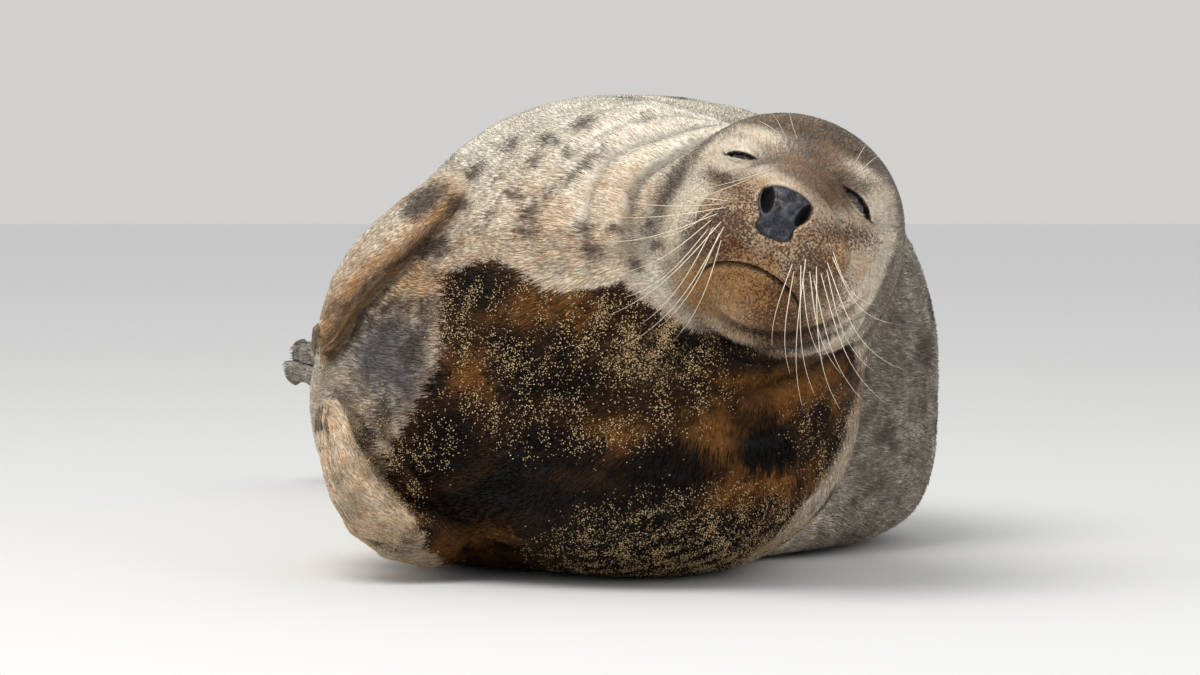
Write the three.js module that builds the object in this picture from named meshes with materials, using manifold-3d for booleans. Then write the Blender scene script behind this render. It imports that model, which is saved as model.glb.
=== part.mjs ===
// Grey seal, adult female, lying on her left side with her head raised and turned to the viewer.
// Millimetres. +X is the viewer's right, +Y runs from the muzzle towards the tail, +Z is up.
// The trunk is a row of sections along a curved spine, from a field of rounded masses of flesh;
// every section lies in one plane, so neighbouring lengths of the body meet on a flat, thin cut.
import * as THREE from 'three';
import { mergeVertices } from 'three/addons/utils/BufferGeometryUtils.js';
import Module from 'manifold-3d';

const wasm = await Module();
wasm.setup();

// ---- driving dimensions ------------------------------------------------------------------------

const CUT = 0.3;                       // gap between neighbouring pieces
const FINEST = 0.2;                   // flatter detail than this is left out of the cut solids
const ORIGIN = [-3.4, 875.1, 0];       // floor point under the middle of the seal's box

const HEAD_PLACE = [200, 120, 417];    // the point midway between the eyes
const HEAD_PITCH = -12;                // muzzle lifted
const HEAD_ROLL = 23;                  // crown leaning to the viewer's right
const HEAD_YAW = -5;                   // muzzle turned a little to the viewer's left

const SAG = { depth: 60, height: 60 };  // how far the weight flattens the flesh on the floor

const EYE = { radius: 21, side: 54, back: 12, lift: -2, gaze: 28 };
const SLIT = { size: [21, 30, 3.4], out: 0.45, front: 0.85, tilt: { right: 6, left: 24 } };
const NOSE = { front: -112, lift: -62, width: 29, height: 29, depth: 20, proud: 1.5 };
const NOSTRIL = { side: 17, lift: -54, size: [4.6, 16, 15], tilt: 24 };
const MOUTH = { middle: -118, corner: -137, reach: 64, jawBack: 14, jawFront: -150, jawBelow: -210 };

const UNDERSIDE_POWER = 4.2;           // 2 is an ellipse; more is squarer, as flesh spreads on the floor

// Spine stations from the snout to the tail: place, half width (belly to back), half height, and
// the way forward there, in degrees to the viewer's right of straight ahead and up from level.
const SPINE = [
  { name: 'snout', at: inHead(0, -45, -80), width: 0, height: 0, heading: 37, rise: 16 },
  { name: 'skull', at: inHead(0, 66, -50), width: 0, height: 0, heading: 37, rise: 16 },
  { name: 'nape', at: [140, 320, 305], width: 110, height: 110, heading: 37, rise: 16 },
  { name: 'breast', at: [10, 470, 208], width: 258, height: 280, heading: 22, rise: 6 },
  { name: 'ribs', at: [48, 660, 205], width: 284, height: 286, heading: 6, rise: 0 },
  { name: 'waist', at: [92, 850, 198], width: 280, height: 276, heading: -2, rise: 0 },
  { name: 'loin', at: [75, 1050, 175], width: 240, height: 238, heading: 12, rise: 0 },
  { name: 'hips', at: [5, 1220, 148], width: 188, height: 196, heading: 25, rise: 0 },
  { name: 'haunch', at: [-75, 1370, 130], width: 135, height: 136, heading: 29, rise: 0 },
  { name: 'ankles', at: [-134, 1480, 120], width: 84, height: 70, heading: 22, rise: 0 },
  { name: 'tail_root', at: [-152, 1550, 119], width: 36, height: 24, heading: 14, rise: 0 },
  { name: 'tail_tip', at: [-162, 1622, 118], width: 24, height: 10, heading: 8, rise: 0 },
];

// Masses of flesh: middle, half sizes, and how softly each melts into its neighbours.
const HEAD_MASSES = [
  { name: 'cranium', at: [2, 94, -20], size: [117, 122, 103], melt: 30 },
  { name: 'bridge', at: [0, -10, -33], size: [48, 96, 44], melt: 30 },
  { name: 'snout', at: [0, -42, -76], size: [66, 70, 50], melt: 30 },
  { name: 'pad_right', at: [-40, -60, -90], size: [40, 44, 38], melt: 20 },
  { name: 'pad_left', at: [40, -60, -90], size: [40, 44, 38], melt: 20 },
  { name: 'jaw', at: [2, -26, -126], size: [56, 60, 36], melt: 16 },
  { name: 'jowl_right', at: [-64, 36, -86], size: [48, 76, 60], melt: 30 },
  { name: 'jowl_left', at: [64, 36, -86], size: [48, 76, 60], melt: 30 },
  { name: 'throat', at: [0, 70, -104], size: [92, 84, 60], melt: 26 },
  { name: 'lids_right', at: [-57, 12, -1], size: [30, 24, 22], melt: 16 },
  { name: 'lids_left', at: [57, 12, -1], size: [30, 24, 22], melt: 16 },
];

const BODY_MASSES = [
  { name: 'neck', at: [172, 285, 330], size: [142, 150, 142], melt: 50 },
  { name: 'chest', at: [35, 415, 205], size: [240, 300, 286], melt: 40 },
  { name: 'belly', at: [-122, 458, 168], size: [185, 238, 192], melt: 46 },
];

// ---- frames and fields -------------------------------------------------------------------------

function headMatrix() {
  const turn = new THREE.Euler(
    THREE.MathUtils.degToRad(HEAD_PITCH),
    THREE.MathUtils.degToRad(HEAD_ROLL),
    THREE.MathUtils.degToRad(HEAD_YAW),
    'YXZ',
  );
  const matrix = new THREE.Matrix4().makeRotationFromEuler(turn);
  return matrix.setPosition(...HEAD_PLACE);
}

function inHead(x, y, z) {
  return new THREE.Vector3(x, y, z).applyMatrix4(headMatrix()).toArray();
}

const HEAD = headMatrix();
const HEAD_INVERSE = HEAD.clone().invert();
const HEAD_UP = new THREE.Vector3(0, 0, 1).transformDirection(HEAD);
const HEAD_FORWARD = new THREE.Vector3(0, -1, 0).transformDirection(HEAD);

function melt(a, b, softness) {
  const overlap = Math.max(softness - Math.abs(a - b), 0) / softness;
  return Math.min(a, b) - (overlap * overlap * softness) / 4;
}

function ellipsoidDistance(p, { at, size }) {
  const [x, y, z] = [0, 1, 2].map((i) => (p[i] - at[i]) / size[i]);
  const reach = Math.hypot(x, y, z);
  const slope = Math.hypot(x / size[0], y / size[1], z / size[2]);
  return slope > 1e-9 ? (reach * (reach - 1)) / slope : -Math.min(...size);
}

// Flesh near the floor is pressed flat: the shape above is read from a little lower down.
function unsag(z) {
  return z - SAG.depth * Math.exp(-Math.max(z, 0) / SAG.height);
}

const spineCurve = new THREE.CatmullRomCurve3(
  SPINE.map(({ at }) => new THREE.Vector3(...at)),
  false,
  'centripetal',
);
const LAST = SPINE.length - 1;

function alongSpine(station, key) {
  const i = Math.min(Math.floor(station), LAST - 1);
  const t = station - i;
  const v = [i - 1, i, i + 1, i + 2].map((k) => SPINE[THREE.MathUtils.clamp(k, 0, LAST)][key]);
  const slopes = [(v[2] - v[0]) / 2, (v[3] - v[1]) / 2];
  const t2 = t * t;
  const t3 = t2 * t;
  return (2 * t3 - 3 * t2 + 1) * v[1] + (t3 - 2 * t2 + t) * slopes[0]
    + (3 * t2 - 2 * t3) * v[2] + (t3 - t2) * slopes[1];
}

function smooth(x, from, to) {
  return THREE.MathUtils.smoothstep(x, from, to);
}

// The frame of one section: its middle, the way to the head, the side and up.
function sectionFrame(station) {
  const middle = spineCurve.getPoint(station / LAST);
  const heading = THREE.MathUtils.degToRad(alongSpine(station, 'heading'));
  const rise = THREE.MathUtils.degToRad(alongSpine(station, 'rise'));
  const level = Math.cos(rise);
  const forward = new THREE.Vector3(Math.sin(heading) * level, -Math.cos(heading) * level, Math.sin(rise));
  forward.lerp(HEAD_FORWARD, 1 - smooth(station, 0.3, 1.15)).normalize();
  const up = new THREE.Vector3(0, 0, 1).lerp(HEAD_UP, 1 - smooth(station, 1, 3));
  const side = new THREE.Vector3().crossVectors(up, forward).normalize();
  up.crossVectors(forward, side).normalize();
  const fan = station < 1
    ? (Math.PI / 2) * Math.pow(station, 0.85)
    : (Math.PI / 2) * (1 + Math.max(station - LAST + 1, 0));
  return { station, middle, forward, side, up, fan };
}

function sweepDistance(offset, frame) {
  const width = Math.max(alongSpine(frame.station, 'width'), 1);
  const height = Math.max(alongSpine(frame.station, 'height'), 1);
  const across = Math.abs(offset.dot(frame.side)) / width;
  const upward = Math.abs(offset.dot(frame.up)) / height;
  const ahead = offset.dot(frame.forward) / Math.min(width, height);
  const under = offset.dot(frame.up) < 0 ? smooth(frame.station, 2.5, 4) : 0;
  const power = THREE.MathUtils.lerp(2, UNDERSIDE_POWER, under * (1 - smooth(frame.station, 6, 8)));
  const reach = (across ** power + upward ** power) ** (1 / power);
  return (Math.hypot(reach, ahead) - 1) * Math.min(width, height);
}

function flesh(point, frame) {
  const sagged = new THREE.Vector3(point.x, point.y, unsag(point.z));
  const inHeadFrame = point.clone().applyMatrix4(HEAD_INVERSE).toArray();
  let distance = 1e6;
  if (frame.station > 1.2) {
    distance = sweepDistance(sagged.clone().sub(frame.middle), frame);
  }
  for (const mass of BODY_MASSES) {
    distance = melt(distance, ellipsoidDistance(sagged.toArray(), mass), mass.melt);
  }
  for (const mass of HEAD_MASSES) {
    distance = melt(distance, ellipsoidDistance(inHeadFrame, mass), mass.melt);
  }
  return distance;
}

// Walks outward from a section's middle until the flesh ends, or the floor is met.
function surfacePoint(frame, angle, skin) {
  const around = frame.side.clone().multiplyScalar(Math.cos(angle))
    .addScaledVector(frame.up, Math.sin(angle));
  const way = frame.forward.clone().multiplyScalar(Math.cos(frame.fan))
    .addScaledVector(around, Math.sin(frame.fan));
  const point = frame.middle.clone();
  let step = 4;
  for (let i = 0; i < 200 && step > 0.01; i += 1) {
    const next = point.clone().addScaledVector(way, step);
    if (flesh(next, frame) < skin) {
      point.copy(next);
      const room = skin - flesh(point, frame);
      step = Math.max(room * 0.6, 0.02);
    } else {
      step *= 0.4;
    }
    if (step <= 0.02 && i > 6) break;
  }
  if (point.z < -skin) {
    const share = (frame.middle.z + skin) / (frame.middle.z - point.z);
    point.lerpVectors(frame.middle, point, share);
  }
  return point;
}

// ---- closed lengths of the body ----------------------------------------------------------------

function closedGeometry(rings, startPoint, endPoint) {
  const columns = rings[0].length;
  const points = [startPoint, ...rings.flat(), endPoint];
  const faces = [];
  const at = (row, column) => 1 + row * columns + (column % columns);
  for (let column = 0; column < columns; column += 1) {
    faces.push(0, at(0, column), at(0, column + 1));
    for (let row = 0; row < rings.length - 1; row += 1) {
      const corners = [at(row, column), at(row, column + 1), at(row + 1, column), at(row + 1, column + 1)];
      faces.push(corners[0], corners[3], corners[1], corners[0], corners[2], corners[3]);
    }
    const last = rings.length - 1;
    faces.push(points.length - 1, at(last, column + 1), at(last, column));
  }
  const geometry = new THREE.BufferGeometry();
  geometry.setAttribute('position', new THREE.Float32BufferAttribute(points.flatMap((p) => p.toArray()), 3));
  geometry.setIndex(faces);
  return geometry;
}

function bodyLength(from, to, rows, columns, skin = 0) {
  const rings = [];
  const trim = CUT / 2 - skin;
  for (let row = 0; row <= rows; row += 1) {
    let station = THREE.MathUtils.lerp(from, to, row / rows);
    if (from === 0) station = Math.max(station, to / rows / 2);
    const frame = sectionFrame(Math.min(station, LAST - 0.02));
    const ring = [];
    for (let column = 0; column < columns; column += 1) {
      ring.push(surfacePoint(frame, (2 * Math.PI * column) / columns, skin));
    }
    if (row === 0 && from > 0) ring.forEach((p) => p.addScaledVector(frame.forward, -trim));
    if (row === rows && to < LAST) ring.forEach((p) => p.addScaledVector(frame.forward, trim));
    rings.push(ring);
  }
  const first = sectionFrame(from);
  const last = sectionFrame(to);
  const start = from === 0
    ? surfacePoint(first, 0, skin)
    : first.middle.addScaledVector(first.forward, -trim);
  const end = to === LAST
    ? surfacePoint(last, 0, skin)
    : last.middle.addScaledVector(last.forward, trim);
  if (from === 0) rings.shift();
  return closedGeometry(rings, start, end);
}

// ---- flippers and claws ------------------------------------------------------------------------

// Each flipper runs along a path; 'flat' is the way across its blade, thin at right angles to that.
const FORE = {
  widths: [52, 54, 56, 60, 60, 52],
  thicks: [34, 32, 30, 25, 19, 13],
  crescent: -14,
  scallop: 5,
};
const HIND = {
  widths: [40, 42, 50, 60, 64, 62],
  thicks: [30, 21, 16, 15, 14, 12],
  crescent: 16,
  scallop: 7,
};
const FLIPPERS = [
  {
    name: 'foreflipper_right',
    kind: FORE,
    path: [
      [-120, 400, 405], [-186, 385, 360], [-228, 372, 325],
      [-256, 366, 292], [-272, 362, 258], [-284, 360, 226],
    ],
    flat: [0.2, 0.96, 0.2],
    clawSpan: [-0.8, 0.34],
    outward: [-0.8, 0, 0.6],
  },
  {
    name: 'foreflipper_left',
    kind: FORE,
    path: [
      [-110, 390, 62], [-176, 318, 46], [-224, 290, 64],
      [-252, 288, 100], [-267, 297, 140], [-276, 306, 186],
    ],
    flat: [-0.12, 0.98, -0.12],
    clawSpan: [-0.72, 0.72],
    outward: [-0.9, 0, -0.43],
  },
  {
    name: 'hindflipper_right',
    kind: HIND,
    path: [
      [-112, 1440, 135], [-150, 1500, 143], [-194, 1561, 151],
      [-242, 1620, 157], [-291, 1676, 162], [-336, 1728, 163],
    ],
    flat: [0.72, 0.69, 0],
    clawSpan: [-0.78, 0.78],
    outward: [0, 0, 1],
  },
  {
    name: 'hindflipper_left',
    kind: HIND,
    path: [
      [-118, 1440, 104], [-158, 1500, 100], [-203, 1557, 115],
      [-252, 1613, 124], [-300, 1667, 131], [-344, 1716, 136],
    ],
    flat: [0.72, 0.69, 0],
    clawSpan: [-0.78, 0.78],
    outward: [0, 0, -1],
  },
];
const DIGITS = 5;
const BLADE = { rows: 11, columns: 18 };
const CLAW = { start: 0.87, length: 28, root: 5, width: 3.6, height: 4.6, droop: 7, out: 0.85, proud: 2 };

function readTable(values, t) {
  const place = t * (values.length - 1);
  const i = Math.min(Math.floor(place), values.length - 2);
  return THREE.MathUtils.lerp(values[i], values[i + 1], place - i);
}

// The frame at t from root to tip: along the path, across the blade, and out of its back.
function bladeFrame(flipper, t) {
  const curve = new THREE.CatmullRomCurve3(flipper.path.map((p) => new THREE.Vector3(...p)));
  const tangent = curve.getTangent(t);
  const flat = new THREE.Vector3(...flipper.flat);
  flat.addScaledVector(tangent, -flat.dot(tangent)).normalize();
  const normal = new THREE.Vector3().crossVectors(tangent, flat).normalize();
  const hand = normal.dot(new THREE.Vector3(...flipper.outward)) < 0 ? -1 : 1;
  return { middle: curve.getPoint(t), tangent, flat, normal: normal.multiplyScalar(hand), hand };
}

// A point of the blade: across and thick run from -1 to 1.
function bladePoint(flipper, t, across, thick, skin = 0) {
  const { kind } = flipper;
  const { middle, tangent, flat, normal } = bladeFrame(flipper, t);
  const tipRound = t > 0.86 ? Math.sqrt(Math.max(1 - ((t - 0.86) / 0.14) ** 2, 0)) : 1;
  const rootRound = t < 0.1 ? Math.sqrt(1 - ((0.1 - t) / 0.1) ** 2) : 1;
  const round = Math.sqrt(tipRound) * rootRound;
  const end = smooth(t, 0.55, 1);
  const ridge = 1 + 0.1 * end * Math.cos(DIGITS * Math.PI * across);
  const reach = kind.crescent * across * across + kind.scallop * Math.cos(DIGITS * Math.PI * across);
  middle.addScaledVector(flat, across * (readTable(kind.widths, t) * round + skin))
    .addScaledVector(normal, thick * (readTable(kind.thicks, t) * ridge * round + skin))
    .addScaledVector(tangent, end * reach * (1 - (1 - round) * 0.5) + skin * (2 * t - 1));
  middle.z = Math.max(middle.z, -skin);
  return middle;
}

function blade(flipper, rows, columns, skin = 0) {
  const rings = [];
  for (let row = 1; row < rows; row += 1) {
    const t = 0.5 - 0.5 * Math.cos((Math.PI * row) / rows);
    const ring = [];
    for (let column = 0; column < columns; column += 1) {
      const angle = (-2 * Math.PI * column * bladeFrame(flipper, t).hand) / columns;
      const across = Math.cos(angle);
      ring.push(bladePoint(flipper, t, across, Math.sin(angle) * (1 + 0.3 * across), skin));
    }
    rings.push(ring);
  }
  return closedGeometry(rings, bladePoint(flipper, 0, 0, 0, skin), bladePoint(flipper, 1, 0, 0, skin));
}

// A claw grows from the back of a digit, just short of its tip, and curves down along it.
function claw(flipper, digit) {
  const across = THREE.MathUtils.lerp(...flipper.clawSpan, digit / (DIGITS - 1));
  const root = bladePoint(flipper, CLAW.start, across, CLAW.out * Math.sqrt(1 - across * across));
  const back = bladePoint(flipper, CLAW.start - 0.1, across, CLAW.out * Math.sqrt(1 - across * across));
  const way = root.clone().sub(back).normalize();
  const lift = root.clone().sub(bladePoint(flipper, CLAW.start, across, 0));
  lift.addScaledVector(way, -lift.dot(way)).normalize();
  const side = new THREE.Vector3().crossVectors(way, lift);
  const rows = 4;
  const columns = 6;
  const rings = [];
  const clawPoint = (t, angle) => {
    const girth = Math.sqrt(1 - t) * Math.sin(Math.min(t * 5, 1) * Math.PI * 0.5);
    return root.clone()
      .addScaledVector(way, CLAW.length * t - CLAW.root)
      .addScaledVector(lift, CLAW.proud + CLAW.droop * (0.3 * t - t * t))
      .addScaledVector(lift, CLAW.height * girth * Math.sin(angle))
      .addScaledVector(side, CLAW.width * girth * Math.cos(angle));
  };
  for (let row = 1; row < rows; row += 1) {
    const ring = [];
    for (let column = 0; column < columns; column += 1) {
      ring.push(clawPoint(row / rows, (2 * Math.PI * column) / columns));
    }
    rings.push(ring);
  }
  return closedGeometry(rings, clawPoint(0, 0), clawPoint(1, 0));
}

// ---- cutting and joining -----------------------------------------------------------------------

function toSolid(geometry) {
  const bare = geometry.index ? geometry.toNonIndexed() : geometry.clone();
  bare.deleteAttribute('normal');
  bare.deleteAttribute('uv');
  const merged = mergeVertices(bare, 1e-3);
  const corners = merged.index.array;
  const kept = [];
  for (let i = 0; i < corners.length; i += 3) {
    const [a, b, c] = [corners[i], corners[i + 1], corners[i + 2]];
    if (a !== b && b !== c && c !== a) kept.push(a, b, c);
  }
  const solid = new wasm.Manifold(new wasm.Mesh({
    numProp: 3,
    vertProperties: merged.attributes.position.array,
    triVerts: new Uint32Array(kept),
  }));
  return solid;
}

function toGeometry(solid) {
  const biggest = solid.simplify(FINEST).decompose().sort((a, b) => b.volume() - a.volume())[0];
  const { vertProperties, triVerts } = biggest.getMesh();
  const geometry = new THREE.BufferGeometry();
  geometry.setAttribute('position', new THREE.BufferAttribute(vertProperties, 3));
  geometry.setIndex(new THREE.BufferAttribute(triVerts, 1));
  return geometry;
}

// A ball stretched, turned about Z then Y, set in the head's frame and taken to the body's frame.
function headBall(at, size, turnZ, turnY, columns = 12, rows = 8) {
  const ball = new THREE.SphereGeometry(1, columns, rows);
  ball.scale(...size);
  ball.rotateY(THREE.MathUtils.degToRad(turnY));
  ball.rotateZ(THREE.MathUtils.degToRad(turnZ));
  ball.translate(...at);
  return ball.applyMatrix4(HEAD);
}

// What lies below the mouth line, from the chin back to under the eyes.
function jawRegion(grow) {
  const shape = new THREE.Shape();
  const side = MOUTH.reach + grow;
  const cornerLift = 2 * MOUTH.middle - MOUTH.corner;
  shape.moveTo(-side, MOUTH.jawBelow);
  shape.lineTo(side, MOUTH.jawBelow);
  shape.lineTo(side, MOUTH.corner + grow);
  shape.quadraticCurveTo(0, cornerLift + grow, -side, MOUTH.corner + grow);
  shape.closePath();
  const length = MOUTH.jawBack - MOUTH.jawFront + grow;
  const region = new THREE.ExtrudeGeometry(shape, { depth: length, bevelEnabled: false, curveSegments: 12 });
  region.rotateX(Math.PI / 2);
  region.translate(0, MOUTH.jawBack + grow, 0);
  return toSolid(region.applyMatrix4(HEAD));
}

// The bare leather at the end of the muzzle: broad above, narrowing to the lip.
function noseRegion(grow) {
  const { width, height, lift } = NOSE;
  const shape = new THREE.Shape();
  const w = width + grow;
  const h = height + grow;
  shape.moveTo(0, lift - h);
  shape.bezierCurveTo(0.75 * w, lift - h, 0.8 * w, lift - 0.3 * h, w, lift + 0.25 * h);
  shape.bezierCurveTo(w, lift + 0.75 * h, 0.5 * w, lift + h, 0, lift + 0.9 * h);
  shape.bezierCurveTo(-0.5 * w, lift + h, -w, lift + 0.75 * h, -w, lift + 0.25 * h);
  shape.bezierCurveTo(-0.8 * w, lift - 0.3 * h, -0.75 * w, lift - h, 0, lift - h);
  const region = new THREE.ExtrudeGeometry(shape, { depth: 60, bevelEnabled: false, curveSegments: 6 });
  region.rotateX(Math.PI / 2);
  region.translate(0, NOSE.front + NOSE.depth + grow, 0);
  return toSolid(region.applyMatrix4(HEAD));
}

// ---- the seal ----------------------------------------------------------------------------------

const FUR = { color: 0x8a7c6c, roughness: 0.9, metalness: 0 };
const LEATHER = { color: 0x2a2c33, roughness: 0.45, metalness: 0 };
const EYEBALL = { color: 0x140f0c, roughness: 0.08, metalness: 0 };
const HORN = { color: 0x2b2522, roughness: 0.5, metalness: 0 };

const LENGTHS = [
  { name: 'neck', from: 1.32, to: 2.4, rows: 7, columns: 36 },
  { name: 'chest', from: 2.4, to: 3.5, rows: 8, columns: 38 },
  { name: 'trunk_front', from: 3.5, to: 4.6, rows: 5, columns: 36 },
  { name: 'trunk_middle', from: 4.6, to: 5.8, rows: 5, columns: 32 },
  { name: 'trunk_rear', from: 5.8, to: 7.2, rows: 5, columns: 28 },
  { name: 'rump', from: 7.2, to: 9.5, rows: 8, columns: 24 },
  { name: 'tail', from: 9.5, to: 11, rows: 6, columns: 14 },
];
const HEAD_LENGTH = { from: 0, to: 1.32, rows: 26, columns: 42 };

const seal = new THREE.Group();
seal.position.set(-ORIGIN[0], -ORIGIN[1], -ORIGIN[2]);

function place(name, geometry, look) {
  const mesh = new THREE.Mesh(geometry, new THREE.MeshStandardMaterial(look));
  mesh.name = name;
  seal.add(mesh);
  return mesh;
}

function lengthOf({ from, to, rows, columns }, skin = 0) {
  return bodyLength(from, to, rows, columns, skin);
}

function placeHead() {
  const flesh = toSolid(lengthOf(HEAD_LENGTH));
  let skull = flesh.subtract(jawRegion(CUT)).subtract(noseRegion(CUT));
  place('lower_jaw', toGeometry(flesh.intersect(jawRegion(0))), FUR);
  for (const [name, hand] of [['right', -1], ['left', 1]]) {
    const at = [hand * EYE.side, EYE.back, EYE.lift];
    const radius = EYE.radius;
    const front = [at[0] + hand * radius * SLIT.out, at[1] - radius * SLIT.front, at[2]];
    const slit = headBall(front, SLIT.size, hand * EYE.gaze, hand * SLIT.tilt[name], 12, 6);
    skull = skull.subtract(toSolid(headBall(at, [radius + CUT, radius + CUT, radius + CUT], 0, 0)));
    skull = skull.subtract(toSolid(slit));
    place(`eye_${name}`, toGeometry(toSolid(headBall(at, [radius, radius, radius], 0, 0))), EYEBALL);
  }
  let nose = toSolid(lengthOf(HEAD_LENGTH, NOSE.proud)).intersect(noseRegion(0));
  for (const hand of [-1, 1]) {
    const at = [hand * NOSTRIL.side, NOSE.front, NOSTRIL.lift];
    nose = nose.subtract(toSolid(headBall(at, NOSTRIL.size, 0, hand * NOSTRIL.tilt, 10, 6)));
  }
  place('nose', toGeometry(nose), LEATHER);
  place('head', toGeometry(skull), FUR);
}

function placeFlipper(flipper, bodies) {
  let solid = toSolid(blade(flipper, BLADE.rows, BLADE.columns));
  for (const body of bodies) solid = solid.subtract(body);
  place(flipper.name, toGeometry(solid), FUR);
  const padded = toSolid(blade(flipper, BLADE.rows, BLADE.columns, CUT));
  for (let digit = 0; digit < DIGITS; digit += 1) {
    let shape = toSolid(claw(flipper, digit)).subtract(padded);
    for (const body of bodies) shape = shape.subtract(body);
    place(`claw_${flipper.name}_${digit + 1}`, toGeometry(shape), HORN);
  }
}

placeHead();
for (const part of LENGTHS) place(part.name, lengthOf(part), FUR);
const padded = LENGTHS.map((part) => toSolid(lengthOf(part, CUT)));
for (const flipper of FLIPPERS) placeFlipper(flipper, padded);

export default seal;
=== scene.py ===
# %% [markdown]
# # A grey seal at life size
# The seal lies on its left side, breast and belly towards the viewer's left, with the head raised
# and turned to the viewer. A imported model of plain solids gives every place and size. This lesson
# builds the looks over it: one skin without seams, eyes, nose leather, claws, whiskers, and a short
# coat of thin tufts that lies along the body. All lengths are in metres.

import math
import time
from types import SimpleNamespace

import bmesh
import bpy
import numpy as np
from mathutils import Matrix, Vector
from mathutils.bvhtree import BVHTree


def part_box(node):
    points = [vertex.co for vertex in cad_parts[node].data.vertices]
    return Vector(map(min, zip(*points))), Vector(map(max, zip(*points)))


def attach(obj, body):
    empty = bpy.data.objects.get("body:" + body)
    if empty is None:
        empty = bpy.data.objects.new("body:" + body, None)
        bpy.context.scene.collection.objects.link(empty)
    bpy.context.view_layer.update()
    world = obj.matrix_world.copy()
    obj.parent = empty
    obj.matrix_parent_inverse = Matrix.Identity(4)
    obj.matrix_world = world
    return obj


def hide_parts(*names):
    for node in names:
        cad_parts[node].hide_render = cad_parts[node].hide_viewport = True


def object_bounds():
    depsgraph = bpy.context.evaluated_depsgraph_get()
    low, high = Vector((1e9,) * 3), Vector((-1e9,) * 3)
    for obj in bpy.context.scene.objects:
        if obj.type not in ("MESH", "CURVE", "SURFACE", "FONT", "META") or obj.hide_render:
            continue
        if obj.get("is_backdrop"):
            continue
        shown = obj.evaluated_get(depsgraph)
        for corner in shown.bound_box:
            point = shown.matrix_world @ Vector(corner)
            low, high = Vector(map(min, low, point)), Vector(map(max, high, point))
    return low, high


STARTED = time.time()
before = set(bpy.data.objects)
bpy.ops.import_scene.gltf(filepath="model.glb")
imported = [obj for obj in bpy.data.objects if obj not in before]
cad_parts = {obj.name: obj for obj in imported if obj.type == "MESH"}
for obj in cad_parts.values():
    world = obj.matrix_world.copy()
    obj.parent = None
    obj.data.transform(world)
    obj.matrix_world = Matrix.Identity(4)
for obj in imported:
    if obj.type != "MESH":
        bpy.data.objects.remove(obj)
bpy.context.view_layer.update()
MM = 0.001

# %% Helpers for new pieces
def new_thing(name, data):
    """Puts a mesh, a curve, a lamp or a camera into the scene."""
    thing = bpy.data.objects.new(name, data)
    bpy.context.collection.objects.link(thing)
    return thing


def mesh_from(form, name):
    """Turns a finished bmesh into a mesh."""
    mesh = bpy.data.meshes.new(name)
    form.to_mesh(mesh)
    form.free()
    return mesh


def seconds():
    """How long the script has run, for the printed notes."""
    return f"{time.time() - STARTED:.1f} s"


print("helpers ready", seconds())

# %% [markdown]
# ## The camera and the light
# A long lens from far off keeps the head and the body in their true proportions. The camera stands
# three degrees above level. Two wide soft lamps and an even sky show the forms without hard edges:
# most of the light falls from above, so the belly goes dark under its own curve, as it does on an
# open beach under thin cloud.

# %% The turned head gives the camera its aim
HEAD_TURN = (Matrix.Rotation(math.radians(23), 4, "Y") @ Matrix.Rotation(math.radians(-12), 4, "X")
             @ Matrix.Rotation(math.radians(-5), 4, "Z"))
EYE_SIDE, EYE_BACK, EYE_LIFT = 54, 12, -2


def middle_of(node):
    low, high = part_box(node)
    return (Vector(low) + Vector(high)) / 2


# both eyes sit a little behind and below the head's own zero, midway between their fronts
HEAD_PLACE = (middle_of("eye_right") + middle_of("eye_left")) / 2
HEAD_PLACE -= HEAD_TURN @ Vector((0, EYE_BACK, EYE_LIFT)) * MM
HEAD = Matrix.Translation(HEAD_PLACE) @ HEAD_TURN
HEAD_BACK = HEAD.inverted()
print("head at", [round(v, 4) for v in HEAD_PLACE])

# %% Camera
TARGET = HEAD_PLACE + Vector((-0.200, 0, -0.158))
CAMERA_FAR = 8.0
CAMERA_LIFT = math.radians(3)


def make_camera():
    lens = bpy.data.cameras.new("camera")
    lens.sensor_width = 36
    lens.lens = 240
    camera = new_thing("camera", lens)
    back = Vector((0, -math.cos(CAMERA_LIFT), math.sin(CAMERA_LIFT)))
    camera.location = TARGET + back * CAMERA_FAR
    camera.rotation_euler = (math.pi / 2 - CAMERA_LIFT, 0, 0)
    bpy.context.scene.camera = camera
    return camera


print("camera at", [round(v, 3) for v in make_camera().location])

# %% Lamps
def lamp(name, place, aim, size, power, colour):
    light = bpy.data.lights.new(name, "AREA")
    light.shape = "DISK"
    light.size = size
    light.energy = power
    light.color = colour
    thing = new_thing(name, light)
    thing.location = place
    thing.rotation_euler = (Vector(aim) - Vector(place)).to_track_quat("-Z", "Y").to_euler()


lamp("high_sky", (-1.6, -2.2, 4.6), (0, -0.4, 0.2), 3.4, 155, (1.0, 0.98, 0.95))
lamp("side_fill", (3.4, -4.2, 1.8), (0, -0.5, 0.25), 2.8, 24, (0.92, 0.96, 1.0))
print("lamps", len(bpy.data.lights))

# %% Sky
PALE = (0.80, 0.79, 0.77)
SEEN_SKY = (*PALE, 1), 0.80
LIT_SKY = (0.95, 0.975, 1.0, 1), 0.70


def seen_rays(nodes, links):
    """One for rays of the camera, of mirrors and of glass, which show the plain background."""
    rays = nodes.new("ShaderNodeLightPath")
    seen = rays.outputs["Is Camera Ray"]
    for kind in ("Is Glossy Ray", "Is Transmission Ray"):
        either = nodes.new("ShaderNodeMath")
        either.operation = "MAXIMUM"
        links.new(seen, either.inputs[0])
        links.new(rays.outputs[kind], either.inputs[1])
        seen = either.outputs[0]
    return seen


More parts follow.
